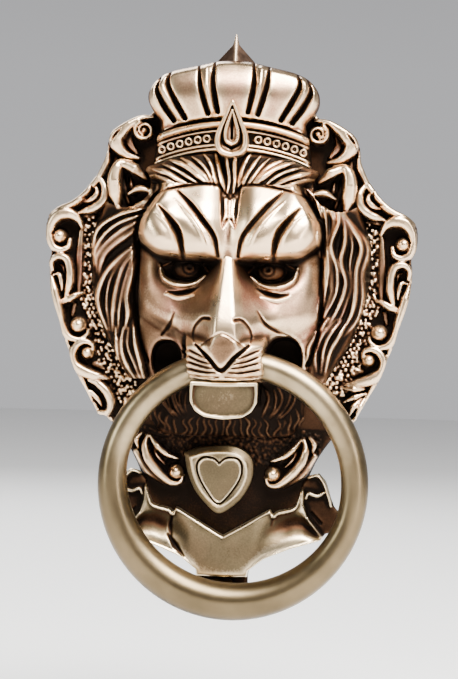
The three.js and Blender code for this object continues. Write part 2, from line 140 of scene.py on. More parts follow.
class Relief:
    """Heights over a grid of x and z, the outline they fill, and how polished each point is, with painted light
    and shade added to that in places.
    """

    def __init__(self, span_x, span_z, step, level, polish_and_shading=0.5):
        xs = np.arange(span_x[0], span_x[1] + step, step)
        zs = np.arange(span_z[0], span_z[1] + step, step)
        self.step = step
        self.x, self.z = np.meshgrid(xs, zs, indexing="ij")
        self.height = np.full(self.x.shape, float(level))
        self.outside = np.full(self.x.shape, 1e3)
        self.polish_and_shading = np.full(self.x.shape, float(polish_and_shading))

    def window(self, low, high):
        """The slices of the grid that hold a box of x and z."""
        first = np.floor((np.array(low) - (self.x[0, 0], self.z[0, 0])) / self.step).astype(int)
        last = np.ceil((np.array(high) - (self.x[0, 0], self.z[0, 0])) / self.step).astype(int) + 1
        first = np.maximum(first, 0)
        return slice(first[0], max(last[0], 0)), slice(first[1], max(last[1], 0))

    def measure(self, path, reach):
        """The window of the grid near a path, and there the distance to it and the place along it."""
        w = self.window(path.min(0) - reach, path.max(0) + reach)
        x, z = self.x[w], self.z[w]
        lengths = np.hypot(*np.diff(path, axis=0).T)
        starts = np.concatenate([[0], np.cumsum(lengths)]) / max(lengths.sum(), 1e-9)
        best = np.full(x.shape, np.inf)
        along = np.zeros(x.shape)
        for k, (a, b) in enumerate(zip(path, path[1:])):
            ab = b - a
            t = np.clip(((x - a[0]) * ab[0] + (z - a[1]) * ab[1]) / max(ab @ ab, 1e-9), 0, 1)
            squared = (x - a[0] - t * ab[0]) ** 2 + (z - a[1] - t * ab[1]) ** 2
            nearer = squared < best
            best = np.where(nearer, squared, best)
            along = np.where(nearer, starts[k] + t * (starts[k + 1] - starts[k]), along)
        return w, np.sqrt(best), along

    def fill(self, points):
        """Adds the inside of a closed outline to the casting."""
        path = np.array([*points, points[0]], float)
        inside = np.zeros(self.x.shape, bool)
        for a, b in zip(path, path[1:]):
            crosses = (a[1] > self.z) != (b[1] > self.z)
            rise = b[1] - a[1] if b[1] != a[1] else 1e-9
            inside ^= crosses & (self.x < a[0] + (self.z - a[1]) * (b[0] - a[0]) / rise)
        _, away, _ = self.measure(path, 1e3)
        self.outside = np.minimum(self.outside, np.where(inside, -away, away))

    def ridge(self, points, width, top, base=None, shape=round_top, polish_and_shading=None, grows=False, sides=1,
              soft_edge=4):
        """Raises a band along a path. Its half width and height run along lists, where given.

        With a base, top is added to it as an absolute height. Without, top is added to what is there.
        """
        for side in ((1, -1) if sides == 2 else (1,)):
            path = smooth_path(on_side(side, points))
            widths, tops = np.atleast_1d(width), np.atleast_1d(top)
            w, away, along = self.measure(path, float(widths.max()) + 2 * self.step)
            half = np.interp(along, np.linspace(0, 1, len(widths)), widths)
            rise = np.interp(along, np.linspace(0, 1, len(tops)), tops)
            u = away / np.maximum(half, 1e-3)
            if base is None:
                self.height[w] += rise * shape(u) * (u < 1)
            else:
                foot = base[w] if np.ndim(base) == 2 else base
                self.height[w] = np.where(u < 1, np.maximum(self.height[w], foot + rise * shape(u)),
                                          self.height[w])
            if polish_and_shading is not None:
                self.polish_and_shading[w] += (polish_and_shading - self.polish_and_shading[w]) * np.clip((1 - u) * soft_edge, 0, 1)
            if grows:
                self.outside[w] = np.minimum(self.outside[w], away - half)

    def groove(self, points, width, depth, sides=1, polish_and_shading=None):
        """Cuts a rounded groove along a path."""
        self.ridge(points, width, -np.atleast_1d(depth), shape=soft_top, sides=sides, polish_and_shading=polish_and_shading)

    def ball(self, x, z, radius, base, top, polish_and_shading=None, sides=1):
        """Raises a round boss."""
        self.ridge([(x, z), (x + 0.01, z)], radius, top, base, polish_and_shading=polish_and_shading, sides=sides)

    def volute(self, x, z, radius, width, base, top, start, turns, polish_and_shading):
        """A spiral band that winds in from its radius to a ball at its middle."""
        angles = np.radians(start + np.linspace(0, 360 * turns, 14))
        radii = np.linspace(radius, radius * 0.45, 14)
        path = [(x + r * math.cos(a), z + r * math.sin(a)) for r, a in zip(radii, angles)]
        self.ridge(path, [width, width * 0.6], [top, top * 0.9], base, polish_and_shading=polish_and_shading)
        self.ball(x, z, radius * 0.32, base, top * 1.15, polish_and_shading)

    def pebbles(self, where, spacing, radius, top, seed, polish_and_shading=None):
        """Raises small bumps on a shaken grid, wherever the given test of x and z holds."""
        shake = np.random.default_rng(seed)
        low, high = (self.x[0, 0], self.z[0, 0]), (self.x[-1, -1], self.z[-1, -1])
        for row, z in enumerate(np.arange(low[1], high[1], spacing * 0.87)):
            for x in np.arange(low[0], high[0], spacing):
                dx, dz, size = shake.uniform(-0.28, 0.28, 3)
                place = (x + spacing * (dx + row % 2 / 2), z + spacing * dz)
                if where(*place):
                    self.bump(*place, radius * (1 + size), top * (1 + size), polish_and_shading)

    def lay(self, where, height=None, polish_and_shading=None):
        """Replaces the height, the polish with its painted light and shade, or both, wherever the test of the
        grid's points holds.
        """
        if height is not None:
            self.height = np.where(where, height, self.height)
        if polish_and_shading is not None:
            self.polish_and_shading = np.where(where, polish_and_shading, self.polish_and_shading)

    def bump(self, x, z, radius, top, polish_and_shading):
        """Raises one round grain over the lowest ground beside it."""
        w = self.window((x - radius, z - radius), (x + radius, z + radius))
        u = np.hypot(self.x[w] - x, self.z[w] - z) / radius
        self.height[w] = np.maximum(self.height[w], self.height[w].min() + top * round_top(u))
        if polish_and_shading is not None:
            self.polish_and_shading[w] = np.where(u < 0.8, polish_and_shading, self.polish_and_shading[w])

    def round_edge(self, drop, width):
        """Lets the surface fall off over the last few millimetres inside the outline."""
        self.height -= drop * np.clip(1 + self.outside / width, 0, 1) ** 2

    def wear_and_shading(self):
        """1 where handling has polished the brass, and 0 where its dark patina stays. The polish it starts from
        also holds painted light and shade, and the broad term paints soft shade into wide hollows and light onto
        wide swells.
        """
        fine = self.height - blur(self.height, 0.9 / self.step)
        broad = self.height - blur(self.height, 3.0 / self.step)
        return np.clip(self.polish_and_shading + 0.8 * np.clip(fine, -1.2, 0) + 0.65 * np.clip(fine, 0, 0.5)
                       + 0.09 * np.clip(broad, -2.5, 2), 0, 1)

    def sample(self, values, x, z):
        """Bilinear values of a grid at some points."""
        u = np.clip((x - self.x[0, 0]) / self.step, 0, self.x.shape[0] - 1.001)
        v = np.clip((z - self.z[0, 0]) / self.step, 0, self.x.shape[1] - 1.001)
        i, j = u.astype(int), v.astype(int)
        u, v = u - i, v - j
        return ((values[i, j] * (1 - u) + values[i + 1, j] * u) * (1 - v)
                + (values[i, j + 1] * (1 - u) + values[i + 1, j + 1] * u) * v)


# ---------------------------------------------------------------- meshes
SLOTS = {entry["node"]: entry["material_slot"] for entry in frame["record"]["subparts"]}


def make_object(name, vertices, faces, material, node, body="plate"):
    """A smooth-shaded object in the frame that stands for a CAD node. Vertices are in metres."""
    mesh = bpy.data.meshes.new(name)
    mesh.from_pydata(vertices, [], faces)
    mesh.shade_smooth()
    mesh.materials.append(material)
    piece = bpy.data.objects.new(name, mesh)
    bpy.context.scene.collection.objects.link(piece)
    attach(piece, body)
    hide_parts(*([node] if isinstance(node, str) else node))
    return piece


def quads_of(field):
    """The surface where a field over grid cells is 0, as points in cells and quads facing out."""
    grid = openvdb.FloatGrid(1.0)
    grid.copyFromArray(np.ascontiguousarray(field, dtype=np.float32))
    points, quads = grid.convertToQuads(0.0)
    a, b, c, d = (points[quads[:, k]] for k in range(4))
    facing = np.einsum("ij,ij->", (a + b + c + d) / 4, np.cross(c - a, d - b))
    return points, (quads if facing > 0 else quads[:, ::-1])


def cast(name, relief, material, node, back=SEAT, carve=None):
    """Turns a relief into a closed casting with the given back, less what carve cuts away."""
    step = relief.step
    top = relief.height[relief.outside < step].max()
    low = float(np.min(back)) - 2 * step
    heights = np.arange(low, top + 3 * step, step)
    inside = np.maximum(heights[None, None, :] - relief.height[..., None], relief.outside[..., None])
    under = np.broadcast_to(np.asarray(back, float), relief.x.shape)[..., None]
    inside = np.maximum(inside, under - heights[None, None, :])
    if carve is not None:
        inside = np.maximum(inside, carve(relief.x[..., None], relief.z[..., None], heights[None, None, :]))
    far = 3 * step
    field = np.pad(np.clip(inside, -far, far), 1, constant_values=far)
    points, quads = quads_of(field)
    x = relief.x[0, 0] + (points[:, 0] - 1) * step
    z = relief.z[0, 0] + (points[:, 1] - 1) * step
    height = low + (points[:, 2] - 1) * step
    vertices = np.stack([x, -height, z], 1) * MM
    piece = make_object(name, vertices, quads.tolist(), material, node)
    set_wear_and_shading(piece, relief.sample(relief.wear_and_shading(), x, z))


def set_wear_and_shading(piece, values, dull_back=0.3):
    """Stores how polished each vertex is, painted light and shade included. What faces the door is never handled,
    so it stays dull.
    """
    mesh = piece.data
    normals = np.empty(len(mesh.vertices) * 3)
    mesh.vertex_normals.foreach_get("vector", normals)
    facing_door = np.clip(normals.reshape(-1, 3)[:, 1] * 2, 0, 1)
    values = values * (1 - facing_door) + dull_back * facing_door
    mesh.attributes.new("wear_and_shading", "FLOAT", "POINT").data.foreach_set("value", values.astype(np.float32))


def sweep(name, rings, material, node, body="plate", closed=False):
    """A closed surface through rings of points, capped at both ends unless it closes on itself."""
    count = len(rings[0])
    vertices = [point for ring in rings for point in ring]
    faces = []
    for r in range(len(rings) if closed else len(rings) - 1):
        a, b = r * count, (r + 1) % len(rings) * count
        for k in range(count):
            faces.append((a + k, a + (k + 1) % count, b + (k + 1) % count, b + k))
    if not closed:
        faces.append(tuple(range(count))[::-1])
        faces.append(tuple(range(len(vertices) - count, len(vertices))))
    return make_object(name, vertices, faces, material, node, body)


# ---------------------------------------------------------------- materials
def set_stops(node, stops):
    """Gives a colour ramp its stops, as places and colours."""
    elements = node.color_ramp.elements
    while len(elements) < len(stops):
        elements.new(0.5)
    for element, (at, color) in zip(elements, stops):
        element.position = at
        element.color = (*color, 1)


def set_range(node, *numbers):
    """Gives a Map Range node its lowest and highest inputs and then outputs."""
    for socket, number in zip(("From Min", "From Max", "To Min", "To Max"), numbers):
        node.inputs[socket].default_value = number


class Shader:
    """Short names for building a material's nodes."""

    def __init__(self, name):
        self.material = bpy.data.materials.new(name)
        self.material.use_nodes = True
        self.nodes = self.material.node_tree.nodes
        self.links = self.material.node_tree.links
        self.surface = self.nodes["Principled BSDF"]
        self.place = self.nodes.new("ShaderNodeTexCoord").outputs["Object"]

    def set(self, **values):
        """Numbers, colours or sockets for the surface's inputs, with _ for a space in a name."""
        for socket, value in values.items():
            self.plug(value, self.surface.inputs[socket.replace("_", " ")])

    def plug(self, value, socket):
        if isinstance(value, bpy.types.NodeSocket):
            self.links.new(value, socket)
        else:
            socket.default_value = value

    def wear_and_shading(self):
        """How polished the vertices are, painted light and shade included."""
        node = self.nodes.new("ShaderNodeAttribute")
        node.attribute_name = "wear_and_shading"
        return node.outputs["Fac"]

    def noise(self, scale, detail):
        """Noise from 0 to 1 in the piece's own space. A larger scale makes finer grain."""
        node = self.nodes.new("ShaderNodeTexNoise")
        node.inputs["Scale"].default_value = scale
        node.inputs["Detail"].default_value = detail
        node.inputs["Roughness"].default_value = 0.55
        self.links.new(self.place, node.inputs["Vector"])
        return node.outputs["Fac"]

    def math(self, operation, a, b):
        """A sum or other operation on two numbers or sockets."""
        node = self.nodes.new("ShaderNodeMath")
        node.operation = operation
        self.plug(a, node.inputs[0])
        self.plug(b, node.inputs[1])
        return node.outputs[0]

    def span(self, value, low, high, to_low=0.0, to_high=1.0):
        """A value moved from one range to another."""
        node = self.nodes.new("ShaderNodeMapRange")
        set_range(node, low, high, to_low, to_high)
        self.plug(value, node.inputs["Value"])
        return node.outputs["Result"]

    def ramp(self, value, stops):
        """The colour that a value has between stops."""
        node = self.nodes.new("ShaderNodeValToRGB")
        set_stops(node, stops)
        self.plug(value, node.inputs["Fac"])
        return node.outputs["Color"]

    def mix(self, share, a, b):
        """A colour between a, where the share is 0, and b, where it is 1."""
        node = self.nodes.new("ShaderNodeMix")
        node.data_type = "RGBA"
        self.plug(share, node.inputs[0])
        self.plug(a if isinstance(a, bpy.types.NodeSocket) else (*a, 1), node.inputs[6])
        self.plug(b if isinstance(b, bpy.types.NodeSocket) else (*b, 1), node.inputs[7])
        return node.outputs[2]

    def bump(self, height, strength, distance):
        """Fine unevenness of the surface. The distance is in metres."""
        node = self.nodes.new("ShaderNodeBump")
        node.inputs["Strength"].default_value = strength
        node.inputs["Distance"].default_value = distance
        self.plug(height, node.inputs["Height"])
        self.links.new(node.outputs["Normal"], self.surface.inputs["Normal"])


def antique_brass(name, middle, high, blushed):
    """Cast brass: bright where it is handled and where a highlight is painted, through brown to nearly black
    patina in the recesses and where shade is painted.
    """
    s = Shader(name)
    cloud = s.noise(160, 4)
    speckle = s.noise(1500, 2)
    shaken = s.math("ADD", s.wear_and_shading(), s.span(cloud, 0.3, 0.7, -0.035, 0.035))
    worn_and_shaded = s.math("ADD", shaken, s.span(speckle, 0.3, 0.7, -0.04, 0.04))
    black, brown = (0.005, 0.0025, 0.0012), (0.055, 0.025, 0.0125)
    dim = tuple(0.42 * channel for channel in middle)
    plain = s.ramp(worn_and_shaded, [(0.06, black), (0.3, brown), (0.48, dim), (0.68, middle), (0.95, high)])
    warm = s.ramp(worn_and_shaded, [(0.06, black), (0.3, brown), (0.48, dim), (0.68, blushed), (0.95, high)])
    s.set(
        Base_Color=s.mix(s.span(s.noise(38, 2), 0.42, 0.62, 0.0, 1.0), plain, warm),
        Metallic=s.span(worn_and_shaded, 0.05, 0.4, 0.93, 1.0),
        Roughness=s.math("ADD", s.span(worn_and_shaded, 0.2, 0.85, 0.55, 0.29), s.span(cloud, 0.3, 0.7, -0.03, 0.04)),
    )
    s.bump(s.math("ADD", s.noise(900, 3), s.span(s.noise(300, 2), 0, 1, 0, 1.5)), 0.14, 0.0002)
    return s.material


def polished_brass():
    """The ring's satin brass: paler and greener, with fine scratches and a few dull clouds."""
    s = Shader("polished_brass")
    cloud = s.noise(60, 3)
    worn_and_shaded = s.math("ADD", s.wear_and_shading(), s.span(cloud, 0.3, 0.7, -0.1, 0.08))
    s.set(
        Base_Color=s.ramp(worn_and_shaded, [
            (0.1, (0.04, 0.028, 0.014)), (0.5, (0.092, 0.067, 0.036)), (0.75, (0.17, 0.124, 0.068)),
            (1.0, (0.46, 0.36, 0.22)),
        ]),
        Metallic=1.0,
        Roughness=s.span(s.noise(420, 4), 0.15, 0.85, 0.29, 0.37),
    )
    s.bump(s.noise(600, 3), 0.06, 0.0002)
    return s.material


def dark_bronze():
    """Nearly black patina with brown edges, as on the finial."""
    s = Shader("dark_bronze")
    worn_and_shaded = s.math("ADD", s.wear_and_shading(), s.span(s.noise(220, 4), 0.3, 0.7, -0.15, 0.15))
    s.set(
        Base_Color=s.ramp(worn_and_shaded, [(0.2, (0.02, 0.012, 0.009)), (0.6, (0.12, 0.07, 0.045)),
                                 (1.0, (0.5, 0.36, 0.24))]),
        Metallic=0.85,
        Roughness=s.span(s.noise(400, 3), 0.3, 0.7, 0.32, 0.5),
    )
    s.bump(s.noise(900, 3), 0.2, 0.0002)
    return s.material


def turned_metal(name, dull, bright):
    """Fasteners: fine turning marks and a slightly uneven finish."""
    s = Shader(name)
    s.set(
        Base_Color=s.mix(s.span(s.noise(350, 4), 0.3, 0.7), dull, bright),
        Metallic=1.0,
        Roughness=s.span(s.noise(1200, 3), 0.3, 0.7, 0.26, 0.44),
    )
    s.bump(s.noise(1500, 2), 0.15, 0.0001)
    return s.material


ANTIQUE = antique_brass("antique_brass", (0.235, 0.134, 0.074), (0.9, 0.64, 0.39), (0.29, 0.128, 0.085))
OLIVE = antique_brass("antique_brass_olive", (0.15, 0.112, 0.062), (0.74, 0.585, 0.37), (0.16, 0.108, 0.06))
POLISHED = polished_brass()
BRONZE = dark_bronze()
ZINC = turned_metal("zinc_steel", (0.5, 0.51, 0.53), (0.68, 0.69, 0.72))
SCREW = turned_metal("screw_brass", (0.42, 0.31, 0.14), (0.68, 0.53, 0.28))


# ---------------------------------------------------------------- backplate
PLATE_HALF = [
    (0, 101.8), (14, 100), (25, 96.5), (30, 90), (31, 84.5), (36, 83), (41.5, 80), (45.5, 77), (47.5, 73),
    (48, 68), (49.5, 64), (51.8, 59.7), (56, 54), (60.5, 50.3), (65.5, 48), (69.2, 44.8), (70.1, 40),
    (69.6, 35), (67.9, 31.5), (68.4, 27.5), (67.9, 20), (66.2, 13), (63.5, 5), (62, -1), (60.2, -5),
    (57.6, -12.5), (53.4, -20), (50.2, -26), (48.2, -29.8), (45, -30.6), (38.5, -38.5), (34.4, -45),
    (31, -53), (28.6, -61), (19, -69), (10.5, -84), (9.5, -97), (6, -101.5), (0, -102.8),
]  # the plate's outline from its top to its foot


def border_scrolls(plate):
    """The scrollwork of the border. What both halves share is drawn once, to the right, and mirrored."""
    bright = {"polish_and_shading": 0.72, "shape": plump_top}
    pair = {"sides": 2, **bright}
    brown = {"sides": 2, "polish_and_shading": 0.34, "shape": plump_top}
    # crest volutes beside the crown, each with its broad leaf and the brown hollow between
    for x in (-33.6, 31.6):
        side = 1 if x > 0 else -1
        plate.volute(x, 77.6, 3.7, 1.15, 6.5, 4.4, 90 - side * 30, 1.35 * -side, 0.72)
    plate.ridge([(38.2, 77.4), (39.4, 73.4), (36.4, 69.2)], [0.7, 1.6, 0.7], [1.4, 2.2, 1.4], 5, **brown)
    plate.ridge([(30.6, 82.9), (35.6, 82.2), (40.6, 78.9), (44, 74.9), (43.2, 71), (40, 68.3), (35.6, 67.2)],
                [0.8, 1.3, 2.5, 3.5, 2.7, 1.6, 0.7], [3.4, 4.6, 5.4, 5.5, 5, 4, 2.5], 5.5, **pair)
    plate.groove([(42.2, 78.3), (44.6, 75.4), (46.4, 72.6)], [0.3, 0.7, 0.3], [0.8, 2.2, 0.8], sides=2)
    plate.ridge([(47.2, 68.6), (47.8, 65.4), (50, 60.4)], [0.9, 1.6, 1.3], [3.2, 3.6, 3.6], 5.5, **pair)
    plate.ridge([(44.2, 67.6), (44.4, 64), (46, 60.6)], [0.8, 1.4, 0.8], [1, 1.4, 1], 4.5, **brown)
    # curled leaf above the shoulder
    plate.ridge([(50.2, 59.8), (53.6, 56), (58.4, 51.6), (64, 48.2), (68.2, 45)],
                [1.4, 1.7, 2.7, 2.7, 1.2], [3.6, 4.6, 5.4, 5.4, 3.4], 5, **pair)
    plate.ridge([(49.8, 59.2), (47.9, 55.6), (48.2, 51.2), (51.4, 48.2), (55.4, 46.8), (58.2, 46)],
                [1.0, 1.5, 1.9, 1.9, 1.6, 0.6], [3, 4.5, 5, 4.8, 4, 1.8], 5.5, **pair)
    plate.ridge([(51.4, 56.6), (51, 53.4), (53, 51.2), (55.8, 50.4)], [0.5, 1.2, 1.3, 0.5],
                [1.5, 3.6, 3.6, 1.5], 5.5, **pair)
    plate.groove([(52.9, 56.4), (52.8, 53.8), (54.8, 52.2), (56.6, 51.8)], [0.5, 0.9, 0.8, 0.4],
                 [1.5, 3, 2.6, 1], sides=2)
    plate.ridge([(51.2, 45.4), (54.6, 45.2), (57.6, 44)], [0.4, 1.1, 0.5], [1, 2.4, 1.4], 4.6, sides=2,
                polish_and_shading=0.5)
    # shoulder volute: a broad band that winds into its boss
    plate.ridge([(56.2, 40.6), (57.6, 43.6), (60.8, 45.6), (64.6, 45.2), (67.4, 42), (68.3, 37.4),
                 (67, 33.4), (64, 32), (61.2, 33.2), (60.6, 36)],
                [0.7, 1.6, 2.5, 2.6, 2.1, 1.6, 1.6, 1.5, 1.3, 0.8],
                [2.4, 4.4, 5.4, 5.5, 5.2, 4.8, 4.6, 4.4, 4, 3], 5.5, **pair)
    plate.ridge([(56.6, 39.4), (57, 30), (56.9, 22), (57, 16.4)], [0.9, 1.5, 1.5, 0.8], [2, 2.2, 2.2, 2],
                4.6, **brown)
    plate.ball(64.6, 37.2, 2.9, 6, 4.6, 0.78, sides=2)
    plate.groove([(61.9, 38.4), (64.6, 40.3), (67.2, 38)], 0.5, 1.4, sides=2)
    # looped curl below the shoulder
    plate.ridge([(66.9, 24.4), (67.2, 27.6), (64.6, 29.6), (61.6, 28.6), (60.2, 24.6), (60.2, 19.6),
                 (61.6, 14.6)],
                [0.8, 1.3, 1.6, 1.7, 1.7, 1.6, 0.8], [3, 4.4, 5, 5, 5, 4.6, 3], 5.5, **pair)
    plate.ridge([(66.6, 22.6), (64.4, 22.8), (63.4, 19.8), (63.2, 16.4)], [0.5, 1.0, 1.0, 0.5],
                [2, 3.4, 3.4, 2], 5.2, **pair)
    plate.ridge([(64.4, 26.6), (63, 25.8), (62.8, 23.6)], [0.4, 0.7, 0.4], [1, 2, 1], 5, sides=2, polish_and_shading=0.4)
    # comma: the broad outer band sweeps round a hollow and hooks about its boss
    plate.ridge([(67.2, 21.6), (65.6, 14.6), (64, 8.4), (62.6, 3), (59.8, -0.7), (56, -1.5), (53.3, 0.4),
                 (52.8, 2.2)],
                [0.9, 1.9, 2.2, 2.1, 1.8, 1.5, 1.1, 0.6], [3.4, 4.8, 5.2, 5.2, 5, 4.6, 4, 3], 5.2, **pair)
    plate.ridge([(63.4, 12.4), (60, 13.8), (57.4, 15.4), (55, 16)], [1.2, 1.6, 1.3, 0.5], [3, 4.2, 4, 2],
                5.2, **pair)
    plate.ridge([(58.6, 11.6), (59.2, 7.4)], [1.0, 0.7], [0.8, 0.6], 4.6, **brown)
    plate.ball(56.6, 3.9, 3.3, 5, 5.7, 0.85, sides=2)
    plate.groove([(54.2, 1.8), (56.4, 0.8), (59, 1.8), (60, 4)], 0.5, 1.2, sides=2)
    # lower volute over its leaf
    plate.ridge([(50.6, -5.4), (51.2, -3.2), (54, -2.2), (57, -3.8), (58.6, -7.4), (57.4, -11.2),
                 (53.4, -13.8), (49, -15.2), (44.8, -16)],
                [0.6, 1.2, 1.5, 1.7, 1.9, 2.3, 2.3, 1.8, 0.6], [3, 4.2, 4.6, 4.8, 5, 5, 4.8, 4, 2], 5.2,
                **pair)
    plate.ball(52.9, -6.4, 2.7, 5.2, 4.8, 0.72, sides=2)
    plate.ridge([(50.4, -10.6), (47.4, -12)], [1.1, 0.7], [1, 0.8], 4.6, **brown)
    plate.ridge([(61, -1.6), (58.6, -10), (55, -17), (51, -24.6)], [0.8, 1.3, 1.7, 0.9], [3, 3.4, 3.6, 2.6],
                5, **pair)
    # the left leaf ends in a hook, the right one in small pointed leaves
    plate.ridge([(-52, -16.8), (-48.6, -17.8), (-45.2, -20.8), (-43.4, -25), (-44.6, -28.6), (-48, -28.6)],
                [0.8, 1.6, 1.8, 1.8, 1.5, 0.8], [3, 4.6, 4.8, 4.6, 4.2, 3], 5.2, **bright)
    plate.ridge([(-51.4, -21), (-48.6, -23.6), (-47, -26.2)], [0.9, 1.1, 0.5], [2.6, 2.6, 1.5], 5, **bright)
    for leaf in ([(51.6, -17.2), (47.6, -17.4), (43.4, -17)], [(52, -18.8), (48, -20.4), (44, -22.4)],
                 [(50.6, -20.8), (48, -23.6), (46.2, -27.4)], [(52.2, -20), (50.4, -23.6), (48.6, -28)]):
        plate.ridge(leaf, [0.6, 1.3, 0.3], [2.4, 4.4, 1.5], 5, **bright)
    # scrolls below the jaw
    plate.ball(18.2, -50.2, 3.0, 5.5, 5, 0.75, sides=2)
    plate.ridge([(15.4, -51.4), (16.6, -54), (20.2, -54.2), (25, -50.4), (28.8, -45.6), (30.2, -40.6),
                 (29.4, -36.8)],
                [0.5, 1.1, 1.6, 1.9, 1.8, 1.5, 0.6], [2, 4, 4.6, 5, 5, 4.6, 2.4], 5, **pair)
    plate.ridge([(17.6, -45.4), (22.4, -43.4), (26.6, -39.6), (28.4, -36.8)], [0.5, 1.2, 1.3, 0.5],
                [2, 3.8, 4, 2], 5, **pair)
    plate.ridge([(31.6, -36), (33.4, -38.4), (32.8, -41.4)], [0.5, 1.1, 0.5], [2, 4, 2], 5, **pair)
    plate.ridge([(27.4, -40.4), (25.6, -44.4), (22.6, -47.6)], [0.4, 0.8, 0.4], [1, 2.4, 1], 5, sides=2,
                polish_and_shading=0.4)
    plate.ridge([(22.4, -54.6), (28.6, -50), (33.6, -43)], [0.8, 2, 1.2], [1.5, 2.6, 2], 4.6, sides=2,
                polish_and_shading=0.5)


def pebbled(x, z):
    """Whether a point lies on the field between the mane and the border."""
    x = abs(x)
    outer = np.interp(z, [-26, -22, -12, 0, 8, 12, 40, 46], [39, 43, 49, 55.5, 53, 57, 57, 54])
    inner = np.interp(z, [-26, -22, -10, 0, 30, 46], [35, 33, 37, 43, 48, 50])
    return -26 < z < 46 and inner < x < outer


def backplate():
    """The flat-backed plate: its pebbled field, finer grain below the beard, scrolls and a raised rim."""
    plate = Relief((-74, 74), (-107, 106), 0.45, PLATE_TOP, 0.2)
    plate.fill(both_halves(smooth_path(PLATE_HALF, 3)))
    plate.pebbles(pebbled, 1.85, 0.92, 1.7, 3, 0.74)
    plate.pebbles(lambda x, z: -47 < z < -34 and abs(x) < 36, 1.5, 0.7, 0.5, 4)
    plate.lay(plate.z < -33, polish_and_shading=0.08)  # dark ground below the beard
    border_scrolls(plate)
    inset = np.clip(-plate.outside / 1.5, 0, 1)
    rim = (plate.outside < 0) & (plate.z > -32)
    plate.height = np.maximum(plate.height, np.where(rim, PLATE_TOP + 2.4 * round_top(inset), 0))
    plate.lay(rim & (inset < 1), polish_and_shading=np.maximum(plate.polish_and_shading, 0.6))
    plate.round_edge(0.9, 1.0)
    cast("backplate_casting", plate, ANTIQUE, "backplate", back=0.0)


# ---------------------------------------------------------------- lion mask
def along_z(z, table, soft=1.3):
    """Values from a table, with its corners rounded off over the given number of millimetres."""
    places, values = zip(*sorted(table.items()))
    fine = np.arange(-60, 95, 0.1)
    weights = np.exp(-0.5 * (np.arange(-4 * soft, 4 * soft + 0.05, 0.1) / soft) ** 2)
    padded = np.pad(np.interp(fine, places, values), len(weights) // 2, mode="edge")
    rounded = np.convolve(padded, weights / weights.sum(), mode="valid")
    return np.interp(z, fine, rounded[: len(fine)])


def face_form(x, z):
    """The bare form of the face, before anything is cut into it."""
    side = np.abs(x)
    cheek = along_z(z, {-38: 8, -30: 8.5, -20: 10, -12: 14.5, -4: 17.4, 6: 20.6, 18: 21.5, 27: 20, 34: 18,
                        60: 17})
    cheek = cheek + along_z(side, {0: 0, 20: 0, 26: -1, 30: -2.6, 33: -5.5, 36: -9, 60: -12})
    # cheekbones, then the hollows round the eyes
    cheek += 2.8 * np.exp(-(((side - 18) / 9) ** 2) - ((z - 10) / 8) ** 2)
    cheek -= 5.6 * np.exp(-(((side - 15) / 8.5) ** 2) - ((z - 25.5) / 4.6) ** 2)
    ridge = along_z(z, {-16: 34, -11: 36.4, -3: 37.8, 2: 38.9, 6: 38.3, 12: 36, 20: 32.6, 26: 30, 31: 28,
                        36: 20})
    flat = along_z(z, {-4: 4.8, 2: 3.8, 12: 2.8, 30: 1.6})
    slope = along_z(z, {-8: 2.1, -3: 2.0, 1: 1.35, 6: 0.88, 9: 0.8, 14: 0.95, 20: 1.3, 28: 2.0}, 1.8)
    nose = ridge - slope * np.maximum(0, side - flat)
    muzzle = 38.2 - 5.2 * (side / 14) ** 2 - 0.035 * (z + 5) ** 2 - 0.34 * np.maximum(0, z + 3) ** 2
    footprint = (side / 15.0) ** 8 + np.abs((z + 3) / 12.4) ** 8
    muzzle -= 34 * np.clip(footprint - 0.85, 0, 1)
    face = smooth_max(smooth_max(cheek, nose, 3.2), muzzle, 1.6)
    return smooth_max(face, brow_form(side, z), 0.8)


def brow_form(side, z):
    """The two pads of the forehead, rounded over at their outer ends and undercut above the eyes."""
    lower_edge = along_z(side, {0: 29.2, 4: 28.6, 9: 29.4, 20: 29.8, 27: 31.2, 33: 35})
    lift = z - (lower_edge - 29.5)
    brow = along_z(lift, {27: 2, 28.4: 20, 29.4: 28.6, 31: 31.6, 34: 33.6, 38: 33.8, 44: 32.6, 50: 30,
                          57: 25.5, 66: 20, 80: 14}, 0.8)
    brow += along_z(side, {0: -4.4, 2: -3.2, 6: -0.4, 9: 0.3, 14: -0.2, 18: -0.6, 23: 0.1, 28: -1.2, 32: -3,
                           60: -4})
    reach = along_z(z, {28: 24, 30: 29, 34: 33.6, 39: 34.8, 44: 33.6, 49: 30.6, 54: 27.4, 58: 26.5, 62: 34,
                        80: 36})
    return brow - 15 * np.clip((side - reach) / 4.6 + 1, 0, 3) ** 2.4


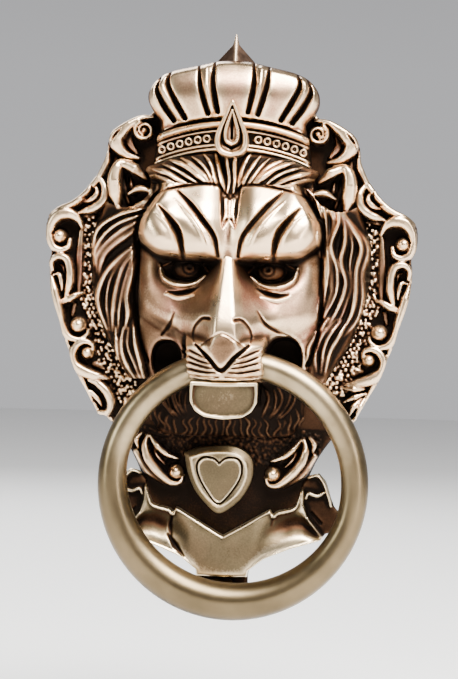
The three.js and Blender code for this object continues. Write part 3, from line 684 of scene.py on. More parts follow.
def eyes(mask):
    """Balls deep in their sockets, each with an iris, a pupil, two lids and the pouch below."""
    for side in (1, -1):
        x, z = side * 15.1, 25.4
        away = np.hypot((mask.x - x) / 1.2, mask.z - z)
        iris = np.hypot(mask.x - x + side * 0.6, mask.z - z - 0.8)
        ball = 15.0 + np.sqrt(np.maximum(0, 5.4**2 - away**2)) - 0.5 * np.exp(-((iris - 2.3) / 0.4) ** 2)
        ball -= 0.9 * np.exp(-((iris / 0.8) ** 2))
        mask.lay(away < 5.3, np.maximum(mask.height, ball))
        # Painted shade: the socket under the brow is darkened.
        socket = np.hypot((mask.x - x) / 1.9, mask.z - (z + 1)) / 5.2
        mask.polish_and_shading -= 0.48 * np.clip(1.6 - 1.1 * socket, 0, 1)
        lower = [(25.6, 27), (24, 22.4), (19, 19.9), (13, 20.3), (8.6, 23.4)]
        mask.ridge(on_side(side, lower), [0.8, 1.7, 1.8, 1.3, 0.6], [1.6, 3.2, 3.2, 2.4, 1], polish_and_shading=1.0,
                   shape=soft_top)
        upper = [(7.5, 25), (11, 28.6), (16, 29.2), (22, 27.8), (25.5, 26)]
        mask.ridge(on_side(side, upper), [0.5, 1.0, 1.1, 0.9, 0.5], [1, 1.8, 2, 1.4, 0.6], polish_and_shading=0.3,
                   shape=soft_top)
        crease = [(22.5, 17.2), (18.5, 16.6), (14, 17.4), (10.4, 19.2)]
        mask.groove(on_side(side, crease), [0.4, 1.2, 1.2, 0.4], [0.6, 2.2, 2.2, 0.6])
        below = [(23, 16.2), (18, 14.8), (12.5, 16)]
        mask.ridge(on_side(side, below), [0.5, 1.0, 0.5], [0.4, 1.1, 0.4], shape=soft_top, polish_and_shading=0.95)


def brow_grooves(mask):
    """The forehead's deep frown lines, with a bright lip beside each, and the tuft between the brows."""
    cuts = [
        ([(26, 48.6), (22.4, 44.6), (18.4, 39), (16.9, 33), (16.6, 29.6)], [0.5, 1.4, 1.8, 1.6, 1.2],
         [1, 3, 3.8, 3.4, 2.4]),
        ([(19.4, 54.4), (14.4, 49.4), (9.8, 43.8), (5.2, 37.4), (3.7, 30.5)], [0.6, 1.4, 1.5, 1.3, 1],
         [1.2, 3.2, 3.4, 3, 2]),
        ([(3.8, 57), (2.9, 52), (2.5, 47), (2.4, 41)], [0.6, 1.0, 1.0, 0.3], [1, 2.6, 2.4, 0.4]),
    ]
    for swell, width in (([(27, 41), (25, 36), (24, 32.5)], 6), ([(20.6, 46), (13.4, 40), (10.4, 33)], 5.4)):
        mask.ridge(swell, width, [0.9, 1.1, 0.7], shape=soft_top, sides=2)
    for points, width, depth in cuts:
        mask.groove(points, width, depth, sides=2)
    # Each lip is a low raised ridge given full polish, which paints a highlight along the groove's edge.
    for lip in ([(25.6, 47.4), (21.2, 43.2), (17.9, 38), (17.4, 33.4)],
                [(18.2, 52), (13, 46.6), (8.4, 40.6), (5.4, 34)]):
        mask.ridge([(x + 2.1, z - 0.9) for x, z in lip], [0.3, 0.7, 0.7, 0.3], [0.2, 0.8, 0.8, 0.2],
                   shape=soft_top, polish_and_shading=1.0, sides=2)
    mask.ridge([(0, 53), (0, 44)], [1.2, 0.7], [1.4, 0.8], shape=soft_top)
    mask.groove([(0.9, 44), (2.2, 40.6)], [0.6, 0.4], [1.2, 0.6], sides=2)


def nose_and_muzzle(mask):
    """The flat diamond of the nose pad, nostril curls, whisker grooves and smile creases."""
    aside = mask.x + 1.1
    # the pad and the muzzle's polish
    pad = np.abs(aside) / 8.4 + np.abs(mask.z + 3.2) / np.where(mask.z > -3.2, 5.0, 7.6)
    flat = 38.6 - 0.16 * (-3.2 - mask.z) - 0.05 * np.abs(aside)
    mask.lay(pad < 1, smooth_min(mask.height, flat, 0.3) + 0.3)
    mask.lay((mask.z < -3.5) & (mask.z > -15.4) & (np.abs(mask.x) < 15.5), polish_and_shading=0.38)
    mask.lay(pad < 0.97, polish_and_shading=0.5)
    mask.groove([(-10.6, -2.2), (-6, -6.6), (-1.1, -11.4), (3.8, -6.6), (8.6, -2.2)],
                [0.8, 1.1, 1.2, 1.1, 0.8],
                [1.8, 2.6, 2.2, 2.6, 1.8])
    mask.groove([(-9.6, -3), (-5.4, 0), (-1.1, 2.1), (3.4, 0), (7.4, -3)], 0.4, 0.6)
    for curl in ([(-6, 7.4), (-8.7, 7.3), (-11.4, 4.2), (-12, 0.6), (-10.6, -2.6)],
                 [(3.6, 7), (6, 7), (8.8, 4), (9.6, 0.2), (8.6, -2.8)]):
        mask.groove(curl, [1.1, 0.8, 0.6, 0.5, 0.4], [1.8, 1.3, 1.1, 0.8, 0.4])
    # whisker grooves
    for whisker in (
        [(5.6, -7.2), (9.6, -5.4), (15.2, -2.8)], [(4.4, -9), (9, -7.9), (15.6, -4.9)],
        [(3.2, -10.6), (7, -10.1), (15, -7.8)],
        [(2.2, -12.1), (6.8, -12.1), (14.6, -10.6)], [(1, -13.8), (6.8, -14.1), (14.6, -13.2)],
    ):
        mask.groove([(x - 0.6, z) for x, z in whisker], [0.4, 0.6, 0.6], [0.8, 1.3, 1.3])
        mask.groove([(-x - 0.8, z) for x, z in whisker], [0.4, 0.6, 0.6], [0.8, 1.3, 1.3])
    # smile creases
    mask.groove([(-19.6, 9.2), (-21.2, 5), (-24.6, 1)], [0.4, 0.9, 0.5], [0.6, 1.8, 0.8])
    mask.groove([(11.6, 10.4), (14.2, 6.2), (18.5, 3.4), (23.4, 1.6)], [0.4, 0.9, 0.8, 0.4],
                [0.6, 1.8, 1.4, 0.5])


def mouth_corners(mask):
    """The dark hollows that the ring comes out of, in cheeks that sink to let the ring swing past them."""
    side = np.abs(mask.x)
    # the cheeks stay behind the bar as high as its top, and come forward above it
    rise = np.maximum(0, mask.z + 4.2 - 0.62 * np.maximum(0, np.abs(mask.x - RING_X) - 18))
    behind_ring = 17.5 + 14 * np.maximum(0, 15.4 - side) + 1.1 * rise + 0.35 * np.maximum(0, rise - 2.5) ** 2
    mask.height = smooth_min(mask.height, behind_ring, 1.5 + 5 * np.clip((side - 17) / 5, 0, 1))
    # a steep-sided pit at each corner
    for x, z, wide, high in ((-22.6, -8.2, 5.1, 6.6), (21.4, -6.8, 5.9, 7.2)):
        away = 6 * (np.abs((mask.x - x) / wide) ** 2.3 + np.abs((mask.z - z) / high) ** 2.3) ** (1 / 2.3)
        pit = 5 + 12 * np.maximum(0, away - 6.0) ** 1.2
        mask.height = smooth_min(mask.height, pit, 1.0)
        # Painted shade in each pit and on the cheek round its rim.
        mask.polish_and_shading -= 0.34 * np.clip((9.4 - away) / 2, 0, 1)
        mask.lay(away < 6.8, polish_and_shading=0.0)


def between(first, last, count):
    """Paths that change evenly from one to another."""
    a, b = np.array(first, float), np.array(last, float)
    return [[tuple(p) for p in a + (b - a) * t] for t in np.linspace(0, 1, count)]


def hair(relief, ground, first, last, count, width, top, polish_and_shading):
    """A lock of strands on the ground heights, each a rounded ridge with its own small differences."""
    for k, points in enumerate(between(first, last, count)):
        lift = top * (1 + 0.25 * math.sin(2.3 * k + points[0][0]))
        thick = width * (1 + 0.22 * math.sin(3.7 * k + points[0][1]))
        sway = 0.45 * np.sin(1.9 * np.arange(len(points)) + 1.7 * k)
        strand = [(x + shift, z) for (x, z), shift in zip(points, sway)]
        relief.ridge(strand, [thick * 0.45, thick, thick, thick, thick * 0.3],
                     [lift * 0.6, lift, lift, lift, lift * 0.3], ground, polish_and_shading=polish_and_shading, soft_edge=1.6)


def forehead_hair(mask):
    """Strands that fan out from the middle, between the brow and the crown."""
    ground = mask.height - 1.2
    above = mask.z > 57.2 - 1.2 * np.exp(-((mask.x / 3) ** 2)) * 5
    region = above & (np.abs(mask.x) < 33)
    mask.lay(region, ground, 0.05)
    for side in (1, -1):
        first = on_side(side, [(1.1, 54), (1.0, 59), (1.4, 65), (2.4, 70)])
        middle = on_side(side, [(9.5, 57.6), (12.6, 60.6), (17.4, 63.8), (23, 66)])
        last = on_side(side, [(19.5, 56.8), (23, 57.8), (27, 59.2), (32, 60.4)])
        hair(mask, ground, first, middle, 6, 1.05, 2.4, 0.85)
        hair(mask, ground, middle, last, 4, 1.05, 2.4, 0.85)
        edge = [(1.8, 52.5), (4, 56.4), (10.5, 57), (19, 55.6), (27.5, 53.4)]
        mask.groove(on_side(side, edge), 0.8, 1.8)


def ears(mask):
    """Each ear is a thick rim round a dark hollow with tufts across it."""
    ground = np.minimum(mask.height, 8.0)
    near = np.hypot((np.abs(mask.x) - 40) / 1.15, mask.z - 57) < 8.5
    mask.lay(near, ground, 0.05)
    for side in (1, -1):
        outer = [(38.4, 65.2), (42.4, 64.6), (44, 60), (43.6, 54), (42.4, 48)]
        mask.ridge(on_side(side, outer), [1.4, 2.4, 3.0, 2.8, 0.7], [4, 6, 6.8, 6, 3], 8, polish_and_shading=0.68,
                   shape=plump_top, grows=True)
        top = [(41.5, 64.8), (36.8, 63), (32.6, 59.6)]
        mask.ridge(on_side(side, top), [1.5, 2.4, 0.9], [4.4, 5.8, 3], 8.4, polish_and_shading=0.68, shape=plump_top,
                   grows=True)
        for strand in ([(41, 60.6), (40.2, 55), (38.6, 50)], [(38.2, 59.6), (37.8, 56), (36.4, 53)]):
            mask.ridge(on_side(side, strand), [0.5, 1.2, 0.6], [1, 1.8, 1], 8, polish_and_shading=0.36)
        for tuft in ([(38.6, 53.4), (34.6, 55.4), (30.4, 54.4), (29.8, 51.8)],
                     [(30.6, 50.6), (34.6, 49), (39.4, 45.6)]):
            mask.ridge(on_side(side, tuft), [0.6, 1.5, 1.3, 0.6], [2, 4, 4, 2], 11, polish_and_shading=0.7)


MASK_HALF = [
    (0, 70.2), (10, 69.6), (20, 67.6), (30, 64), (35, 62.6), (43, 66), (47.2, 61), (47.5, 54), (49.5, 46),
    (52.6, 38), (53, 28), (50.5, 12), (45.5, -1), (40, -10), (36, -17), (30, -23), (30, -34), (19, -37.5),
    (0, -38),
]


def mane(mask):
    """Long wavy locks down both sides of the face."""
    side = np.abs(mask.x)
    body = along_z(side, {28: 17, 34: 14.6, 40: 13, 46: 10.6, 50: 8.6, 54: 6})
    body = body - along_z(mask.z, {-30: 6, -20: 5, -10: 3, 0: 1, 10: 0, 50: 0, 60: 3})
    inner = along_z(mask.z, {-38: 30, -16: 29.6, -8: 31.2, 0: 33.6, 10: 34.4, 25: 34.6, 36: 34.6, 44: 33.4,
                             50: 30.4, 57: 27.5})
    region = (side > inner) & (mask.z < 57.5)
    ground = np.where(region, body, mask.height - 1)
    mask.lay(region, smooth_max(body, mask.height - 2, 1.0), 0.04)
    hair(mask, ground, [(-30, 48), (-36, 47), (-42, 45), (-49, 40.5), (-52, 34.5), (-51.5, 28)],
         [(-34, 41), (-38, 38.5), (-43, 35), (-46.5, 31), (-48.5, 27), (-49.5, 22)], 4, 1.4, 3.4, 0.5)
    hair(mask, ground, [(-36.5, 33.5), (-42, 29), (-46.8, 22), (-49, 13), (-46, 2.5)],
         [(-34.8, 30), (-36.8, 23), (-37.8, 15), (-37.4, 8), (-39.5, 1)], 5, 1.25, 3.2, 0.42)
    hair(mask, ground, [(-42, 3.5), (-42, -3), (-40.5, -9), (-36.6, -16)],
         [(-34.6, 3.5), (-34.4, -4), (-32.6, -10), (-30.4, -15.5)], 4, 1.05, 2.8, 0.44)
    hair(mask, ground, [(28, 56.6), (31.6, 52), (33.8, 44), (33.6, 36), (35.2, 28), (34.8, 19), (33.4, 10)],
         [(33, 58), (38, 53), (40, 45), (38, 36), (40, 27), (39.5, 18), (36, 9)], 4, 1.1, 3.4, 0.5)
    hair(mask, ground, [(38.5, 53), (41.5, 46), (43, 38), (41.6, 30), (43, 22), (41, 13), (37, 5)],
         [(42, 48.6), (47, 42), (51.4, 35), (50, 26), (50, 17), (48, 9), (43.4, 2)], 4, 1.25, 3.2, 0.46)
    hair(mask, ground, [(37.5, 9), (33, 3), (30.6, -3), (31, -10.5)],
         [(45, 8), (41, 2), (38, -4), (37, -12)], 4, 1.05, 2.8, 0.44)
    edge = [(26.6, 55), (30.4, 50), (33.6, 44), (34.8, 37), (34.6, 26), (34.6, 12), (33.4, 0), (30, -9)]
    mask.groove(edge, [0.8, 1.2, 1.3, 1.3, 1.2, 1.2, 1.2, 1], [1.5, 2.4, 2.8, 2.8, 2.8, 2.4, 2, 1.5],
                sides=2)
    mask.lay(region, blur(mask.height, 0.4 / mask.step))


def beard(mask):
    """The dark hair below the jaw."""
    low = mask.z < -15.5
    mask.lay(low & (np.abs(mask.x) < 30.5), polish_and_shading=-0.1)
    fall = 0.1 * (mask.z + 17) + 0.3 * np.minimum(0, mask.z + 25) + 0.6 * np.minimum(0, 24 - np.abs(mask.x))
    mask.lay(low, np.minimum(mask.height, 10.4 + fall))
    ground = mask.height - 0.6
    locks = [
        ([(13.5, -17), (15.5, -21), (15, -26), (13, -30)],
         [(24.5, -16.5), (26, -21), (23, -26), (18, -31)], 7, 0.7, 1.3, 0.03),
        ([(0.5, -28.5), (1.2, -31), (0.6, -34), (1.6, -38)],
         [(14, -29), (16, -31.5), (15, -34.5), (18, -37.5)], 7, 0.65, 1.2, 0.06),
        ([(19, -29), (20, -32), (18.5, -35), (19, -37.5)],
         [(29, -24), (29.5, -28), (28, -31), (28.5, -34)], 5, 0.65, 1.2, 0.02),
    ]
    for side in (1, -1):
        for first, last, *look in locks:
            hair(mask, ground, on_side(side, first), on_side(side, last), *look)


def mouth_way(x, z, height):
    """Inside the space that the ring's bar sweeps, or the slot of the jaw's neck: positive."""
    gap, half_width, slot_floor = 0.4, 32, 9.5
    aside = np.clip(np.abs(x - RING_X), 0, RING_MIDDLE * 0.9)
    sag = RING_MIDDLE - np.sqrt(RING_MIDDLE**2 - aside**2)  # how far below its top the bar is there
    reach = (RING_THIN + gap) * RING_MIDDLE / (RING_MIDDLE - sag)  # half the slanting bar, and the gap
    below, out = PIVOT_Z - z, height - PIVOT_HEIGHT
    way = np.full(np.broadcast_shapes(x.shape, z.shape, height.shape), -1.0e3)
    for turn in np.linspace(0, SWING_MOST, 12):
        away = np.hypot(below - sag * math.cos(turn), out - sag * math.sin(turn))
        way = np.maximum(way, reach - away)
    way = np.minimum(way, half_width - np.abs(x))
    low, high = cad_box("lower_jaw")
    slot = np.minimum(high[0] + gap - np.abs(x), np.minimum(high[2] + gap - z, z - low[2] + gap))
    slot = np.minimum(slot, height - slot_floor)
    return np.maximum(way, slot)


def lion_mask():
    """Face, ears, mane and beard in one casting, with the way through the mouth for the ring."""
    mask = Relief((-57, 57), (-41, 73), 0.4, 6, 0.62)
    mask.fill(both_halves(smooth_path(MASK_HALF, 3)))
    mask.height = face_form(mask.x, mask.z)
    mask.height = blur(mask.height, 0.5 / mask.step)
    side = np.abs(mask.x)
    brow = np.clip((mask.z - 29) / 2, 0, 1)
    bridge = np.clip(1.6 - side / along_z(mask.z, {0: 4, 10: 4.4, 28: 2.4}), 0, 1)
    bridge *= np.clip(mask.z / 3, 0, 1)
    # Painted shade: the lower left cheek is darkened, as if turned from the light.
    mask.polish_and_shading -= 0.2 * np.clip((-mask.x - 22) / 8, 0, 1) * np.clip((12 - mask.z) / 8, 0, 1)
    # Painted light: the right half of the face is made lighter than the left.
    lighter_to_right = np.where(mask.x > 0, 0.12, 0.03) * np.clip(mask.x / 12, -1, 1)
    # The brow pads and the nose bridge get more polish: partly the rubbed high points and partly a painted
    # highlight.
    mask.polish_and_shading += 0.3 * brow + 0.4 * bridge * (1 - brow) + lighter_to_right
    mouth_corners(mask)
    mane(mask)
    beard(mask)
    eyes(mask)
    brow_grooves(mask)
    nose_and_muzzle(mask)
    forehead_hair(mask)
    ears(mask)
    under_ring = (np.abs(mask.x) > 17) & (mask.z < -6)
    mask.lay(under_ring, smooth_min(mask.height, 17.1, 0.3))
    mask.round_edge(2.2, 1.8)
    cast("lion_mask_casting", mask, ANTIQUE, "lion_mask", carve=mouth_way)


# ---------------------------------------------------------------- crown
CROWN_HALF = [
    (0, 103.8), (6, 103.4), (13, 101.6), (22, 99.6), (27.6, 97), (31.2, 92.8), (31.9, 88.4), (29.6, 83.8),
    (27, 80.5), (28, 76), (29.4, 68), (28.8, 64.4), (24, 66.6), (12, 69.2), (0, 70),
]


def arch(x):
    """The height up the door of the crown band's upper edge."""
    return 7.2 + np.sqrt(74**2 - np.minimum(np.abs(x), 40.0) ** 2)


def along_arch(drop, reach):
    """A path to the right along the crown's band, the given drop below its upper edge."""
    return [(x, float(arch(x)) - drop) for x in np.linspace(0, reach, 7)]


def crown():
    """The ribbed cap over a beaded band."""
    relief = Relief((-35, 35), (62, 107), 0.33, 6, 0.68)
    relief.fill(both_halves(smooth_path(CROWN_HALF, 3)))
    x, z, side = relief.x, relief.z, np.abs(relief.x)
    fullest = 91  # the z where the cap stands out most
    cap = 23.6 - 6 * (side / 33) ** 2.6
    cap = cap - 0.036 * np.maximum(0, z - fullest) ** 2 - 0.034 * np.maximum(0, fullest - z) ** 2
    band = z < arch(x) + 0.8
    relief.height = np.where(band, 17 - 4.0 * (side / 30) ** 2, cap)
    relief.lay(band, polish_and_shading=0.2)
    relief.height = blur(relief.height, 0.3 / relief.step)
    for groove, width in (
        ([(7.2, 102.5), (7.6, 95), (6.6, 88.5), (5.6, 84)], [0.6, 1.1, 1.4, 1.2]),
        ([(13, 101), (12.4, 94), (10.8, 88), (9.2, 83.4)], [0.6, 1.1, 1.4, 1.3]),
        ([(23.6, 98.6), (24.4, 94), (21.4, 87.6), (17.8, 81.6)], [0.6, 1.2, 1.4, 1.3]),
        ([(27.4, 96.4), (28.6, 92), (26, 86.4), (22, 80.8)], [0.6, 1.3, 1.5, 1.3]),
    ):
        relief.groove(groove, width, [1.4, 3.6, 4.2, 3.6], sides=2)
    for swell, width in (([(10.2, 100.5), (9.9, 94), (8.7, 88), (7.6, 84)], 1.6),
                         ([(25.4, 97), (26.4, 93), (23.6, 87), (20, 81.6)], 1.4)):
        relief.ridge(swell, width, 1.1, shape=soft_top, polish_and_shading=0.85, sides=2)
    relief.ridge(along_arch(-1.0, 25.5), 0.7, 2.6, 15.5 * np.ones_like(x) - 3.2 * (side / 30) ** 2,
                 polish_and_shading=0.8, sides=2)
    # the band's two thick mouldings, then the two thin ones inside them
    foot = 16.6 - 4.0 * (side / 30) ** 2
    for drop, reach, width, rise, polish_and_shading in ((1.4, 28, 1.5, 4.6, 0.85), (11.4, 28.6, 1.7, 4.6, 0.85),
                                            (3.7, 28, 0.75, 2.2, 0.6), (9, 28.4, 0.75, 2.2, 0.6)):
        relief.ridge(along_arch(drop, reach), width, rise, foot, polish_and_shading=polish_and_shading, sides=2)
    # a row of small rings with a bead in each and between them
    for u in np.linspace(9.6, 26.4, 6):
        centre = float(arch(u)) - 6.3
        turns = np.linspace(0, 2 * math.pi, 9)
        circle = [(u + 1.15 * math.cos(a), centre + 1.2 * math.sin(a)) for a in turns]
        base = 17 - 4.0 * (u / 30) ** 2
        relief.ridge(circle, 0.5, 1.5, base, polish_and_shading=0.75, sides=2)
        relief.ball(u, centre, 0.45, base, 0.9, 0.6, sides=2)
        relief.ball(u - 1.75, centre - 0.3, 0.5, base, 0.9, 0.6, sides=2)
    relief.round_edge(3.0, 2.4)
    cast("crown_casting", relief, ANTIQUE, "crown")


def crown_jewel():
    """The teardrop: a rim, a groove inside it, and a smaller drop with a slot."""
    relief = Relief((-9, 9), (62, 93), 0.3, 25.0, 0.8)
    half = [(0, 88.6), (1.6, 85.4), (3.9, 80.4), (5.9, 75.4), (6.1, 71.4), (4.1, 68), (0, 66.9)]
    relief.fill(both_halves(smooth_path(half, 4)))
    rim = [(0, 87.2), (1.2, 84.4), (3.2, 79.8), (5.0, 75.3), (5.1, 71.7), (3.5, 69), (0, 67.9)]
    relief.ridge(rim, 1.25, 2.2, 24.6, polish_and_shading=0.85, sides=2)
    relief.groove([(0, 85.6), (2.1, 80), (3.5, 75.6), (3.2, 72.2), (0, 70.2)], 0.6, 1.6, sides=2)
    relief.ridge([(0, 84.4), (1.4, 80), (2.3, 76), (1.9, 73), (0, 71.8)], [0.4, 0.8, 0.9, 0.8, 0.8], 2,
                 24.6, polish_and_shading=0.85, sides=2)
    relief.groove([(0, 82.6), (0, 79), (0, 74)], [0.2, 0.5, 0.7], [0.8, 2, 2.4])
    cast("crown_jewel_drop", relief, ANTIQUE, "crown_jewel", back=17.0)


def finial():
    """A three-sided dark spike with its ridge to the front."""
    tip, foot = cad_box("finial")[1][2], 103.2
    relief = Relief((-10, 10), (99, 118), 0.3, SEAT, 0.35)
    relief.fill([(0, tip), (1.2, 110.5), (7, 104.4), (7, 101), (-7, 101), (-7, 104.4), (-1.2, 110.5)])
    rise = np.clip((tip - relief.z) / (tip - foot), 0, 1)
    relief.height = 7.5 + 6 * rise - 0.9 * np.abs(relief.x)
    # Painted highlight: a bright stripe down the front ridge.
    relief.polish_and_shading = 0.35 + 0.5 * np.exp(-((relief.x / 0.5) ** 2))
    cast("finial_spike", relief, BRONZE, "finial", back=3.5)


# ---------------------------------------------------------------- jaw, shield and ribbon
def lower_jaw():
    """The chin: a block with a bright rim round a speckled face, on the neck that closes the mouth."""
    low, high = cad_box("lower_jaw")
    relief = Relief((-15, 15), (low[2] - 3, high[2] + 3), 0.3, high[1] - 1.1, 0.66)
    half, top, bottom = high[0], high[2], low[2]
    right = [(0, top), (half - 0.4, top), (half, top - 0.6), (half - 0.2, bottom + 6.4),
             (half - 2.2, bottom + 2.9),
             (half - 5.6, bottom + 0.8), (0, bottom)]
    relief.fill(both_halves(right))
    relief.height += 0.5 - 0.005 * relief.x**2
    rim = [(half - 0.6, top - 0.8), (half - 0.7, bottom + 6.5), (half - 2.7, bottom + 3.3),
           (half - 6, bottom + 1.4), (0, bottom + 0.6)]
    relief.ridge(rim, 0.75, 1.0, high[1] - 0.9, polish_and_shading=0.95, sides=2)
    relief.ridge([(-half + 1, top - 0.9), (0, top - 1.1), (half - 1, top - 0.7)], 0.8, 0.8, high[1] - 0.9,
                 polish_and_shading=0.8)
    neck, thickness = 8.0, 4.2

    def carve(x, z, height):
        """Behind the chin's plate only the neck is left."""
        behind = high[1] - thickness - height
        beside = np.maximum(np.abs(x) - neck, np.maximum(bottom + 2.7 - z, z - top + 1.2))
        return np.minimum(behind, beside)

    cast("lower_jaw_block", relief, OLIVE, "lower_jaw", carve=carve)


def heart_shield():
    """A bevelled shield with a heart cut into it."""
    top = cad_box("heart_shield")[1][1]
    relief = Relief((-19, 15), (-68, -36), 0.3, top - 1.1, 0.62)
    outline = smooth_path([(-15.2, -42.8), (-9, -40.5), (0, -39.7), (5, -40.4), (9.4, -43.2), (10.9, -47),
                           (10.2, -53), (6.2, -60), (-1, -65.2), (-6, -62.3), (-11, -56.4), (-13.8, -49.8),
                           (-15.2, -42.8)], 4)
    relief.fill([tuple(p) for p in outline[:-1]])
    relief.height += 0.5 - 0.004 * (relief.x + 2) ** 2
    relief.height -= 1.1 * np.clip(1 + relief.outside / 2.6, 0, 1)
    inset = outline + (np.array([-2.2, -51.5]) - outline) * 0.2
    relief.ridge([tuple(p) for p in inset[::4]], 0.7, 0.3, shape=soft_top, polish_and_shading=0.7)
    heart = [(-1.9, -46.4), (-4, -44.6), (-8, -44.3), (-10.2, -46.8), (-9.6, -51), (-6.5, -56.6),
             (-1.9, -61.6), (3, -57), (6.2, -51.4), (6.6, -47), (4.8, -44.5), (0.8, -44.3), (-1.9, -46.4)]
    relief.groove(heart, 0.42, 1.1)
    relief.ridge([(x * 0.92 - 0.15, -51.5 + (z + 51.5) * 0.92) for x, z in heart], 0.35, 0.3,
                 shape=soft_top, polish_and_shading=0.8)
    cast("heart_shield_plate", relief, OLIVE, "heart_shield")


# the ribbon's whole right half, and the part of it that hangs in front of the curled end
RIBBON_HALF = [
    (0, -73.6), (9.5, -68), (17.6, -63.2), (18.6, -65.1), (20.2, -63.8), (26.6, -62.2), (28.4, -58.4),
    (29.4, -53.2), (32, -50.2), (35.6, -49.2), (38.3, -52.2), (40.2, -58), (41.6, -61.5), (45.6, -66.3),
    (45.2, -70.2), (38.4, -72.2), (36.8, -74.6), (25, -78.2), (15.5, -82.2), (10, -86.5), (9.6, -89),
    (0, -89.2),
]
WING_HALF = [
    (0, -73.6), (9.5, -68), (17.6, -63.2), (18.6, -65.1), (20.2, -63.8), (26.6, -62.2), (28.4, -58.4),
    (29.2, -55), (30, -56), (30.2, -61), (31.4, -65.2), (34.6, -69.4), (37.4, -73), (36.8, -74.6),
    (25, -78.2), (15.5, -82.2), (10, -86.5), (9.6, -89), (0, -89.2),
]


def ribbon_banner():
    """A band of cloth, hollow below its upper edge and full along its lower one, over curled ends darkened with
    painted shade.
    """
    top = cad_box("ribbon_banner")[1][1]
    span = ((-49, 49), (-93, -46), 0.36)
    # The base polish of 0.2 stays on the curled ends behind the wings as painted shade.
    relief = Relief(*span, top - 6.4, 0.2)
    relief.fill(both_halves(RIBBON_HALF))
    wings = Relief(*span, 0)
    wings.fill(both_halves(WING_HALF))
    z, side = relief.z, np.abs(relief.x)
    upper = np.interp(side, [0, 9.5, 17.6, 26.6, 30, 37], [-73.6, -68, -63.4, -62.2, -63.4, -73])
    lower = np.interp(side, [0, 9.6, 10, 15.5, 25, 37, 46], [-89.2, -89, -86.5, -82.2, -78.2, -74.4, -69])
    down = np.clip((upper - z) / np.maximum(upper - lower, 1.5), 0, 1.2)
    aside = np.clip((side - 12) / 12, 0, 1)
    hollow = blur(aside * np.sin(np.clip(down, 0, 0.78) / 0.78 * math.pi) ** 2, 2)
    swell = np.exp(-(((down - 0.9) / 0.16) ** 2)) * np.clip((side - 8) / 8, 0, 1)
    face = top - 1.7 - 0.0016 * side**2 - 3.4 * hollow + 0.6 * swell
    front = np.clip(0.5 - wings.outside / 0.8, 0, 1)
    relief.height += (face - relief.height) * front
    # Painted shade in the hollow below the upper edge and a painted highlight along the full lower part.
    relief.polish_and_shading += (0.6 - 0.2 * hollow + 0.12 * swell - relief.polish_and_shading) * front
    edge = [(0, -74), (9.5, -68.6), (17.4, -64), (18.8, -65.8), (20.4, -64.4), (26, -62.9), (28, -59.6),
            (28.6, -56.4)]
    relief.ridge(edge, [0.8, 0.9, 0.8, 0.6, 0.8, 0.8, 0.7, 0.4], 1.4, top - 1.9, polish_and_shading=0.95, sides=2)
    relief.ridge([(31.6, -66.4), (36.6, -72.8), (36, -74.2), (25, -77.6), (15.6, -81.5), (10.4, -86)], 0.55,
                 0.7,
                 shape=soft_top, polish_and_shading=0.92, sides=2)
    relief.groove([(-18.8, -65.6), (-19.8, -70), (-19.4, -75)], [0.5, 1.2, 0.6], [0.8, 1, 0.4])
    # The fold's groove is darkened as painted shade.
    relief.groove([(-20.6, -73.6), (-17.6, -77.6), (-14.4, -81.6)], [0.5, 1.7, 0.6], [0.6, 1.6, 0.6],
                  polish_and_shading=0.3)
    relief.groove([(18.9, -66), (18.2, -69.4)], [0.5, 0.5], [0.8, 0.3])
    # the curled ends
    curl = [(31.4, -51), (34.8, -50), (37.4, -52.6), (39.2, -57.6), (40.2, -61.6)]
    relief.ridge(curl, [0.6, 0.9, 0.9, 0.8, 0.5], [2, 2.6, 2.6, 2.2, 1], top - 6, polish_and_shading=0.95, sides=2)
    relief.ridge([(30.8, -58.8), (31.8, -56.9), (35, -57.8), (38, -56.2)], [0.5, 0.8, 0.8, 0.4],
                 [1, 1.8, 1.8, 0.8], top - 6,
                 polish_and_shading=0.85, sides=2)
    relief.groove([(33, -64), (36.6, -68)], [0.6, 1.0], 0.8, sides=2)
    relief.round_edge(1.0, 0.9)
    cast("ribbon_banner_casting", relief, OLIVE, "ribbon_banner")


# ---------------------------------------------------------------- ring and fasteners
def knocker_ring():
    """The bar swells towards the bottom while the ring's outside stays a circle."""
    around, across = 240, 40
    swell_at = math.radians(-105)
    swell = RING_THICK - RING_THIN
    centre_z = PIVOT_Z - RING_MIDDLE
    rings = []
    for a in np.linspace(0, 2 * math.pi, around, endpoint=False):
        bar = RING_THIN + swell * max(0.0, math.cos(a - swell_at)) ** 1.2
        ring = []
        for b in np.linspace(0, 2 * math.pi, across, endpoint=False):
            out = RING_OUTER - bar + bar * math.cos(b)
            ring.append(((RING_X + out * math.cos(a)) * MM, (-PIVOT_HEIGHT + bar * math.sin(b)) * MM,
                         (centre_z + out * math.sin(a)) * MM))
        rings.append(ring)
    piece = sweep("knocker_ring_bar", rings, POLISHED, "knocker_ring", "ring", closed=True)
    # Painted light: the bar is brighter at the top of the ring and duller at its bottom.
    lighter_at_top = np.repeat(np.sin(np.linspace(0, 2 * math.pi, around, endpoint=False)), across)
    set_wear_and_shading(piece, 0.76 + 0.14 * lighter_at_top, 0.5)


def lathe(name, profile, axis_at, material, node):
    """Turns a profile of (radius, height) about a line out of the door."""
    sides = 48
    rings = []
    for radius, height in profile:
        ring = []
        for k in range(sides):
            a = 2 * math.pi * k / sides
            x, z = axis_at[0] + radius * math.cos(a), axis_at[1] + radius * math.sin(a)
            ring.append((x * MM, -height * MM, z * MM))
        rings.append(ring)
    return sweep(name, rings, material, node)


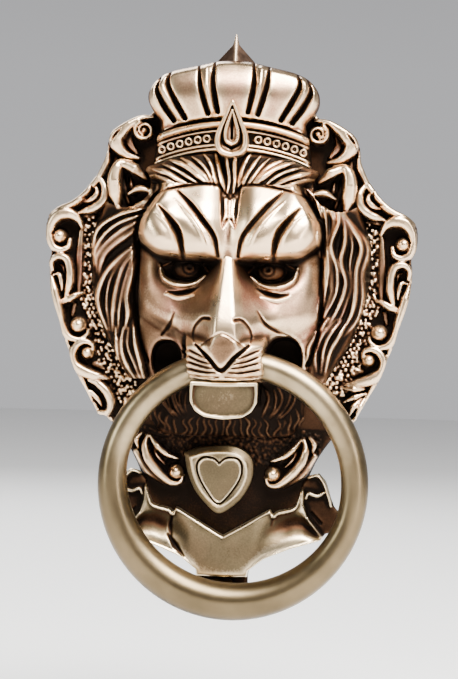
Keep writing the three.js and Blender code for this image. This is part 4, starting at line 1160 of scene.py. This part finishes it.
def strike_stud():
    """The turned stud that the ring strikes: a washer-like foot, a neck and a rounded head."""
    low, high = cad_box("strike_stud")
    at = ((low[0] + high[0]) / 2, (low[2] + high[2]) / 2)
    top, radius = high[1], (high[0] - low[0]) / 2
    pin = 2.5
    profile = [(pin, 0.3), (pin, SEAT), (radius, SEAT), (radius, SEAT + 1), (radius - 0.6, SEAT + 1.7),
               (radius - 1.5, SEAT + 2.3), (radius - 1.5, top - 2), (radius - 1.9, top - 0.9),
               (radius - 3, top - 0.2), (0.4, top)]
    piece = lathe("strike_stud_turned", profile, at, POLISHED, "strike_stud")
    set_wear_and_shading(piece, np.full(len(piece.data.vertices), 0.6))


def builds():
    """Makes every casting, and gives the CAD's own fasteners their metals."""
    for make in (backplate, lion_mask, crown, crown_jewel, finial, lower_jaw, heart_shield, ribbon_banner,
                 knocker_ring, strike_stud):
        make()
    for name, node in frame["nodes"].items():
        metal = {"zinc_steel": ZINC, "screw_brass": SCREW}.get(SLOTS[name])
        if metal:
            node.data.materials.clear()
            node.data.materials.append(metal)


# ---------------------------------------------------------------- camera, floor and lights
def camera():
    """Straight on from the front, a little from the right, with the slight tilt of a hand-held picture."""
    distance, aside, roll = 0.85, math.radians(2.5), math.radians(1.6)
    data = bpy.data.cameras.new("camera")
    data.sensor_width, data.lens = 36, 119  # a long lens, as the photo shows hardly any perspective
    eye = bpy.data.objects.new("camera", data)
    bpy.context.scene.collection.objects.link(eye)
    eye.location = (distance * math.sin(aside), -distance * math.cos(aside), 0)
    eye.rotation_euler = (math.pi / 2, -roll, aside)
    bpy.context.scene.camera = eye


def softbox(name, place, aim, size, power, color=(1, 1, 1)):
    """A soft oval light at a place, turned towards its aim."""
    data = bpy.data.lights.new(name, "AREA")
    data.shape = "ELLIPSE"
    data.size, data.size_y = size
    data.energy = power
    data.color = color
    light = bpy.data.objects.new(name, data)
    bpy.context.scene.collection.objects.link(light)
    light.location = place
    gaze = np.array(aim, float) - np.array(place, float)
    yaw = math.atan2(-gaze[0], gaze[1])
    pitch = math.atan2(gaze[2], math.hypot(gaze[0], gaze[1]))
    light.rotation_euler = (math.pi / 2 + pitch, 0, yaw)


def sky():
    """A room that is pale round the horizon and dim overhead, so the metal has something to reflect."""
    world = bpy.data.worlds.new("studio")
    bpy.context.scene.world = world
    world.use_nodes = True
    nodes, links = world.node_tree.nodes, world.node_tree.links
    place = nodes.new("ShaderNodeTexCoord")
    split = nodes.new("ShaderNodeSeparateXYZ")
    ramp = nodes.new("ShaderNodeValToRGB")
    links.new(place.outputs["Generated"], split.inputs[0])
    links.new(split.outputs["Z"], ramp.inputs["Fac"])
    links.new(ramp.outputs["Color"], nodes["Background"].inputs["Color"])
    grays = [(0.0, 0.6), (0.12, 0.55), (0.42, 0.16), (0.8, 0.08)]
    set_stops(ramp, [(at, (gray, gray, gray * 1.03)) for at, gray in grays])
    ahead = nodes.new("ShaderNodeMapRange")
    set_range(ahead, -0.3, 0.6, 0.09, 0.95)
    links.new(split.outputs["Y"], ahead.inputs["Value"])
    links.new(ahead.outputs["Result"], nodes["Background"].inputs["Strength"])


def pale_floor():
    """A round floor, well below the knocker, that glows a little so that it stays pale."""
    mesh = bpy.data.meshes.new("floor")
    radius, level, corners = 4, -0.16, 64
    turns = np.linspace(0, 2 * math.pi, corners + 1)[:-1]
    rim = [(radius * math.cos(a), radius * math.sin(a), level) for a in turns]
    mesh.from_pydata(rim, [], [tuple(range(corners))])
    floor = bpy.data.objects.new("floor", mesh)
    pale = bpy.data.materials.new("floor")
    pale.use_nodes = True
    surface = pale.node_tree.nodes["Principled BSDF"].inputs
    surface["Base Color"].default_value = (0.8, 0.8, 0.8, 1)
    surface["Roughness"].default_value = 0.9
    surface["Emission Color"].default_value = (0.8, 0.8, 0.82, 1)
    surface["Emission Strength"].default_value = 0.45
    mesh.materials.append(pale)
    bpy.context.scene.collection.objects.link(floor)


def studio():
    """The room, its floor and four soft lights."""
    sky()
    pale_floor()
    softbox("key", (0.42, -0.75, 1.1), (0, 0, 0.03), (1.2, 0.8), 120, (1, 0.98, 0.94))
    softbox("front", (1.0, -1.0, 0.15), (0, 0, 0), (0.16, 1.0), 8, (1, 0.95, 0.92))
    softbox("window", (-1.1, -0.7, 0.35), (0, 0, 0), (0.25, 0.8), 8, (0.94, 1, 0.95))
    softbox("back", (-0.4, 1.2, 0.8), (0, 0, 0), (0.9, 0.9), 16)


camera()
builds()
studio()
